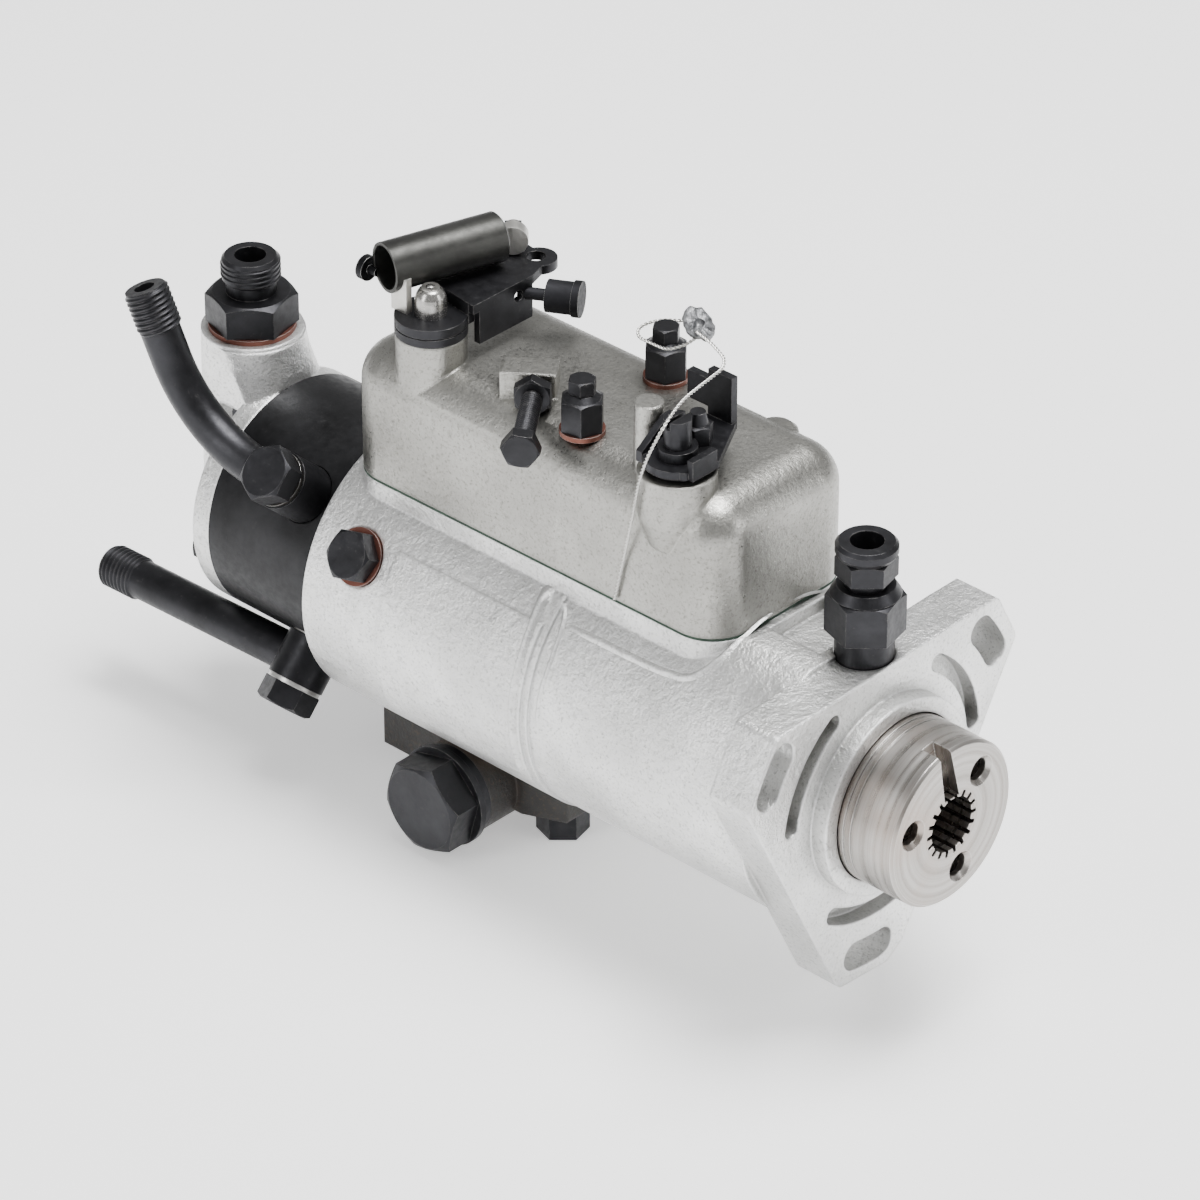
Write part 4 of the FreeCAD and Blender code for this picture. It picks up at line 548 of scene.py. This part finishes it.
def crumpled_seal():
    """A pressed lead disc, dented and wavy, with a neck where each wire comes out."""
    way = SEAL_WAY.normalized()
    across = (SEAL_ACROSS - way * SEAL_ACROSS.dot(way)).normalized()
    over = way.cross(across)
    vertices = []
    for reach, lift in SEAL_RINGS:
        for side in range(SEAL_SIDES):
            angle = 2 * math.pi * side / SEAL_SIDES
            spot = across * math.cos(angle) * reach + over * math.sin(angle) * reach * SEAL_OVAL
            dent = DENT_DEPTH * noise.noise(spot * DENT_SCALE + way * lift * LIFT_EFFECT)
            fold = FOLD_DEPTH * noise.noise(spot * FOLD_SCALE)
            swell = 1 + SWELL_SHARE * noise.noise(spot * SWELL_SCALE + SWELL_SHIFT)
            vertices.append(SEAL_MIDDLE + spot * swell + way * (lift + (dent + fold)))
    faces = ring_faces(len(SEAL_RINGS), SEAL_SIDES)
    add_neck(vertices, faces, SEAL_MIDDLE + way * NECK_START, Vector(TAIL_ROUTE[0]), TAIL_NECK_RADIUS)
    add_neck(vertices, faces, SEAL_MIDDLE - way * NECK_START, Vector(LOOP_ROUTE[0]), LOOP_NECK_RADIUS)
    seal = add_piece("crumpled_seal", vertices, faces, "lead")
    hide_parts("lead_seal")
    return seal


# Seams of the casting: place along the barrel and angle round it, then half width and rise
CASTING_SEAMS = {
    "barrel_ridge": (((-92.5, 127), (-91.4, 137), (-90.6, 150), (-90.5, 165), (-90.4, 180),
                      (-90.2, 196), (-90, 212)), 2.5, 1.9),
    "barrel_line": (((-88, 127.5), (-86.2, 131), (-83.4, 137.5), (-82.3, 150), (-82.8, 166),
                     (-82.8, 182)), 1.0, 0.45),
    "cover_seam": (((-83, 137.5), (-71, 137.3), (-58, 137.1), (-48, 136.4), (-40.5, 133.5),
                    (-36, 122), (-35.6, 108), (-35.6, 96)), 1.4, 0.6),
    "cover_seam_far": (((-83, 42.5), (-71, 42.7), (-58, 42.9), (-48, 43.6), (-40.5, 46.5),
                        (-36, 58), (-35.6, 72), (-35.6, 84)), 1.4, 0.6),
}
BARREL_RADIUS = 40.3
COLLAR_RADIUS = 41.0
COLLAR_END = -86
SEAM_STEPS = 14
SEAM_COLUMNS = 13
SEAM_DEPTH = 0.12    # how far its rims lie under the barrel
SEAM_FADE = 0.12     # share of its length over which it rises


def barrel_radius(x):
    return COLLAR_RADIUS if x < COLLAR_END else BARREL_RADIUS


def on_barrel(x, degrees):
    radius = barrel_radius(x)
    angle = math.radians(degrees)
    return Vector((x, radius * math.cos(angle), radius * math.sin(angle)))


def curve_through(marks, steps):
    """Points of a smooth curve through all marks."""
    points = []
    for index in range(len(marks) - 1):
        before = marks[max(index - 1, 0)]
        start = marks[index]
        end = marks[index + 1]
        after = marks[min(index + 2, len(marks) - 1)]
        for step in range(steps):
            share = step / steps
            bulge = (share * (1 - share)) / 2
            pull = (end - before) * (1 - share) - (after - start) * share
            points.append(start.lerp(end, share) + (pull - (end - start) * (1 - 2 * share)) * bulge)
    return points + [marks[-1]]


def surface_ridge(name, route, half, rise):
    """A soft raised seam on the barrel, along points given by place and angle."""
    marks = curve_through([Vector(mark) for mark in route], SEAM_STEPS)
    spots = [on_barrel(mark.x, mark.y) for mark in marks]
    vertices = []
    for index, spot in enumerate(spots):
        ahead = spots[min(index + 1, len(spots) - 1)] - spots[max(index - 1, 0)]
        outward = Vector((0, spot.y, spot.z)).normalized()
        side_way = outward.cross(ahead).normalized()
        share = index / (len(spots) - 1)
        fade = min(1.0, share / SEAM_FADE, (1 - share) / SEAM_FADE)
        for column in range(SEAM_COLUMNS):
            place = column / (SEAM_COLUMNS - 1) * 2 - 1
            edge = spot + side_way * half * place
            outward = Vector((0, edge.y, edge.z)).normalized()
            swell = (rise + SEAM_DEPTH) * fade * math.cos(place * math.pi / 2) ** 2
            height = barrel_radius(edge.x) - SEAM_DEPTH + swell
            vertices.append(Vector((edge.x, 0, 0)) + outward * height)
    faces = []
    for row in range(len(spots) - 1):
        for column in range(SEAM_COLUMNS - 1):
            low = row * SEAM_COLUMNS + column
            faces.append((low, low + 1, low + SEAM_COLUMNS + 1, low + SEAM_COLUMNS))
    return add_piece(name, vertices, faces, "housing_casting")


# Cords: the twisted seal wires, on the same points as their solids

TAIL_ROUTE = [
    (-73, 8.5, 101.6), (-66, 6.4, 102), (-56.2, 2.4, 101.6), (-54.4, -9.7, 101.4),
    (-52.6, -19.2, 101.6), (-50, -28.6, 99.4), (-54.4, -29.9, 89), (-57.4, -29.6, 80.6),
    (-61, -28.3, 67.2), (-65.9, -26, 52.5), (-69, -25.9, 39),
]
LOOP_ROUTE = [
    (-76, 13.5, 97.6), (-79.5, 12.5, 93.6), (-85, 10.6, 90.4), (-91, 11.8, 89.4),
    (-97, 12.6, 88.6), (-100.6, 17, 88.4), (-98.5, 22.4, 89), (-92.4, 25, 90),
]
WIRE_RADIUS = 0.5
STRAND_RADIUS = 0.29
STRAND_SIDES = 6
STRAND_LAY = 2.6     # length of one turn of the strands
STRAND_STEP = 0.3
BEND_TRIM = 0.45     # share of the shorter run that a bend takes


def straight(start, end):
    count = max(1, int((end - start).length / STRAND_STEP))
    return [start.lerp(end, step / count) for step in range(1, count + 1)]


def wire_path(route):
    """Points along straight runs joined by tangent arcs, about a strand step apart."""
    corners = [Vector(spot) for spot in route]
    path = [corners[0]]
    for before, corner, after in zip(corners, corners[1:], corners[2:]):
        into = corner - before
        onward = after - corner
        turn = into.angle(onward)
        trim = BEND_TRIM * min(into.length, onward.length)
        radius = trim / math.tan(turn / 2)
        into.normalize()
        onward.normalize()
        first = corner - into * trim
        inward = (onward - into * onward.dot(into)).normalized()
        centre = first + inward * radius
        path += straight(path[-1], first)
        count = max(2, int(radius * turn / STRAND_STEP))
        for step in range(1, count + 1):
            angle = turn * step / count
            path.append(centre - inward * radius * math.cos(angle) + into * radius * math.sin(angle))
    return path + straight(path[-1], corners[-1])


def seal_wire(name, route, pieces):
    """Two strands laid round each other, carried along the route without twist of their own."""
    path = wire_path(route)
    vertices = []
    faces = []
    for strand in (0, 1):
        start = len(vertices)
        across = (path[1] - path[0]).normalized().orthogonal().normalized()
        travel = 0.0
        for index, spot in enumerate(path):
            if index:
                travel += (spot - path[index - 1]).length
            ahead = path[min(index + 1, len(path) - 1)] - path[max(index - 1, 0)]
            way = ahead.normalized()
            across = (across - way * across.dot(way)).normalized()
            over = way.cross(across)
            lay = 2 * math.pi * travel / STRAND_LAY + math.pi * strand
            out = across * math.cos(lay) + over * math.sin(lay)
            middle = spot + out * (WIRE_RADIUS - STRAND_RADIUS)
            ring = around(out, way.cross(out), STRAND_SIDES)
            vertices += [middle + side * STRAND_RADIUS for side in ring]
        strand_faces = ring_faces(len(path), STRAND_SIDES)
        faces += [tuple(start + corner for corner in face) for face in strand_faces]
    cord = add_piece("twisted_" + name, vertices, faces, "wire_steel")
    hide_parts(name)


# Stage

FLOOR_GAP = 0.4 * MM
FLOOR_HALF = 6.0
FLOOR_COLOR = (0.98, 0.98, 0.98)
FLOOR_ROUGHNESS = 0.9
FLOOR_GLOW = 0.5
WHITE = (1.0, 1.0, 1.0)
SKY_STRENGTH = 0.42
# Soft lights, all turned to one point: place, width and height, power in watts
LIT_POINT = (-0.12, 0, 0.02)
LIGHTS = {
    "top": ((0.1, 0.2, 1.6), (1.0, 0.8), 54),
    "key": ((-0.5, -1.6, 0.7), (0.5, 1.4), 14),
    "front": ((1.35, 0.6, 0.5), (0.4, 0.8), 7),
}


def make_floor():
    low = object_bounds()[0].z - FLOOR_GAP
    mesh = bpy.data.meshes.new("floor")
    corners = [(-FLOOR_HALF, -FLOOR_HALF, low), (FLOOR_HALF, -FLOOR_HALF, low),
               (FLOOR_HALF, FLOOR_HALF, low), (-FLOOR_HALF, FLOOR_HALF, low)]
    mesh.from_pydata(corners, [], [(0, 1, 2, 3)])
    floor = bpy.data.objects.new("floor", mesh)
    bpy.context.scene.collection.objects.link(floor)
    shader = Shader("floor")
    shader.join(FLOOR_COLOR, shader.main.inputs["Base Color"])
    shader.join(FLOOR_ROUGHNESS, shader.main.inputs["Roughness"])
    shader.join(WHITE, shader.main.inputs["Emission Color"])
    shader.join(FLOOR_GLOW, shader.main.inputs["Emission Strength"])
    mesh.materials.append(shader.material)


def make_light(name, place, size, power):
    data = bpy.data.lights.new(name, "AREA")
    data.shape = "RECTANGLE"
    data.size, data.size_y = size
    data.energy = power
    light = bpy.data.objects.new(name, data)
    bpy.context.scene.collection.objects.link(light)
    way = Vector(LIT_POINT) - Vector(place)
    light.rotation_euler = way.to_track_quat("-Z", "Y").to_euler()
    light.location = place


def make_world():
    world = bpy.data.worlds.new("studio")
    world.use_nodes = True
    back = world.node_tree.nodes["Background"]
    back.inputs["Color"].default_value = (*WHITE, 1.0)
    back.inputs["Strength"].default_value = SKY_STRENGTH
    bpy.context.scene.world = world


make_camera()
seal_wire("seal_wire_loop", LOOP_ROUTE, [crumpled_seal()])
seal_wire("seal_wire_tail", TAIL_ROUTE, [])

for entry in frame["record"]["subparts"]:
    dress(entry["node"], entry["material_slot"])
for name, values in THREADS.items():
    screw_thread(name, *values)
for name, values in CASTING_SEAMS.items():
    surface_ridge(name, *values)

make_floor()
make_world()
for name, values in LIGHTS.items():
    make_light(name, *values)
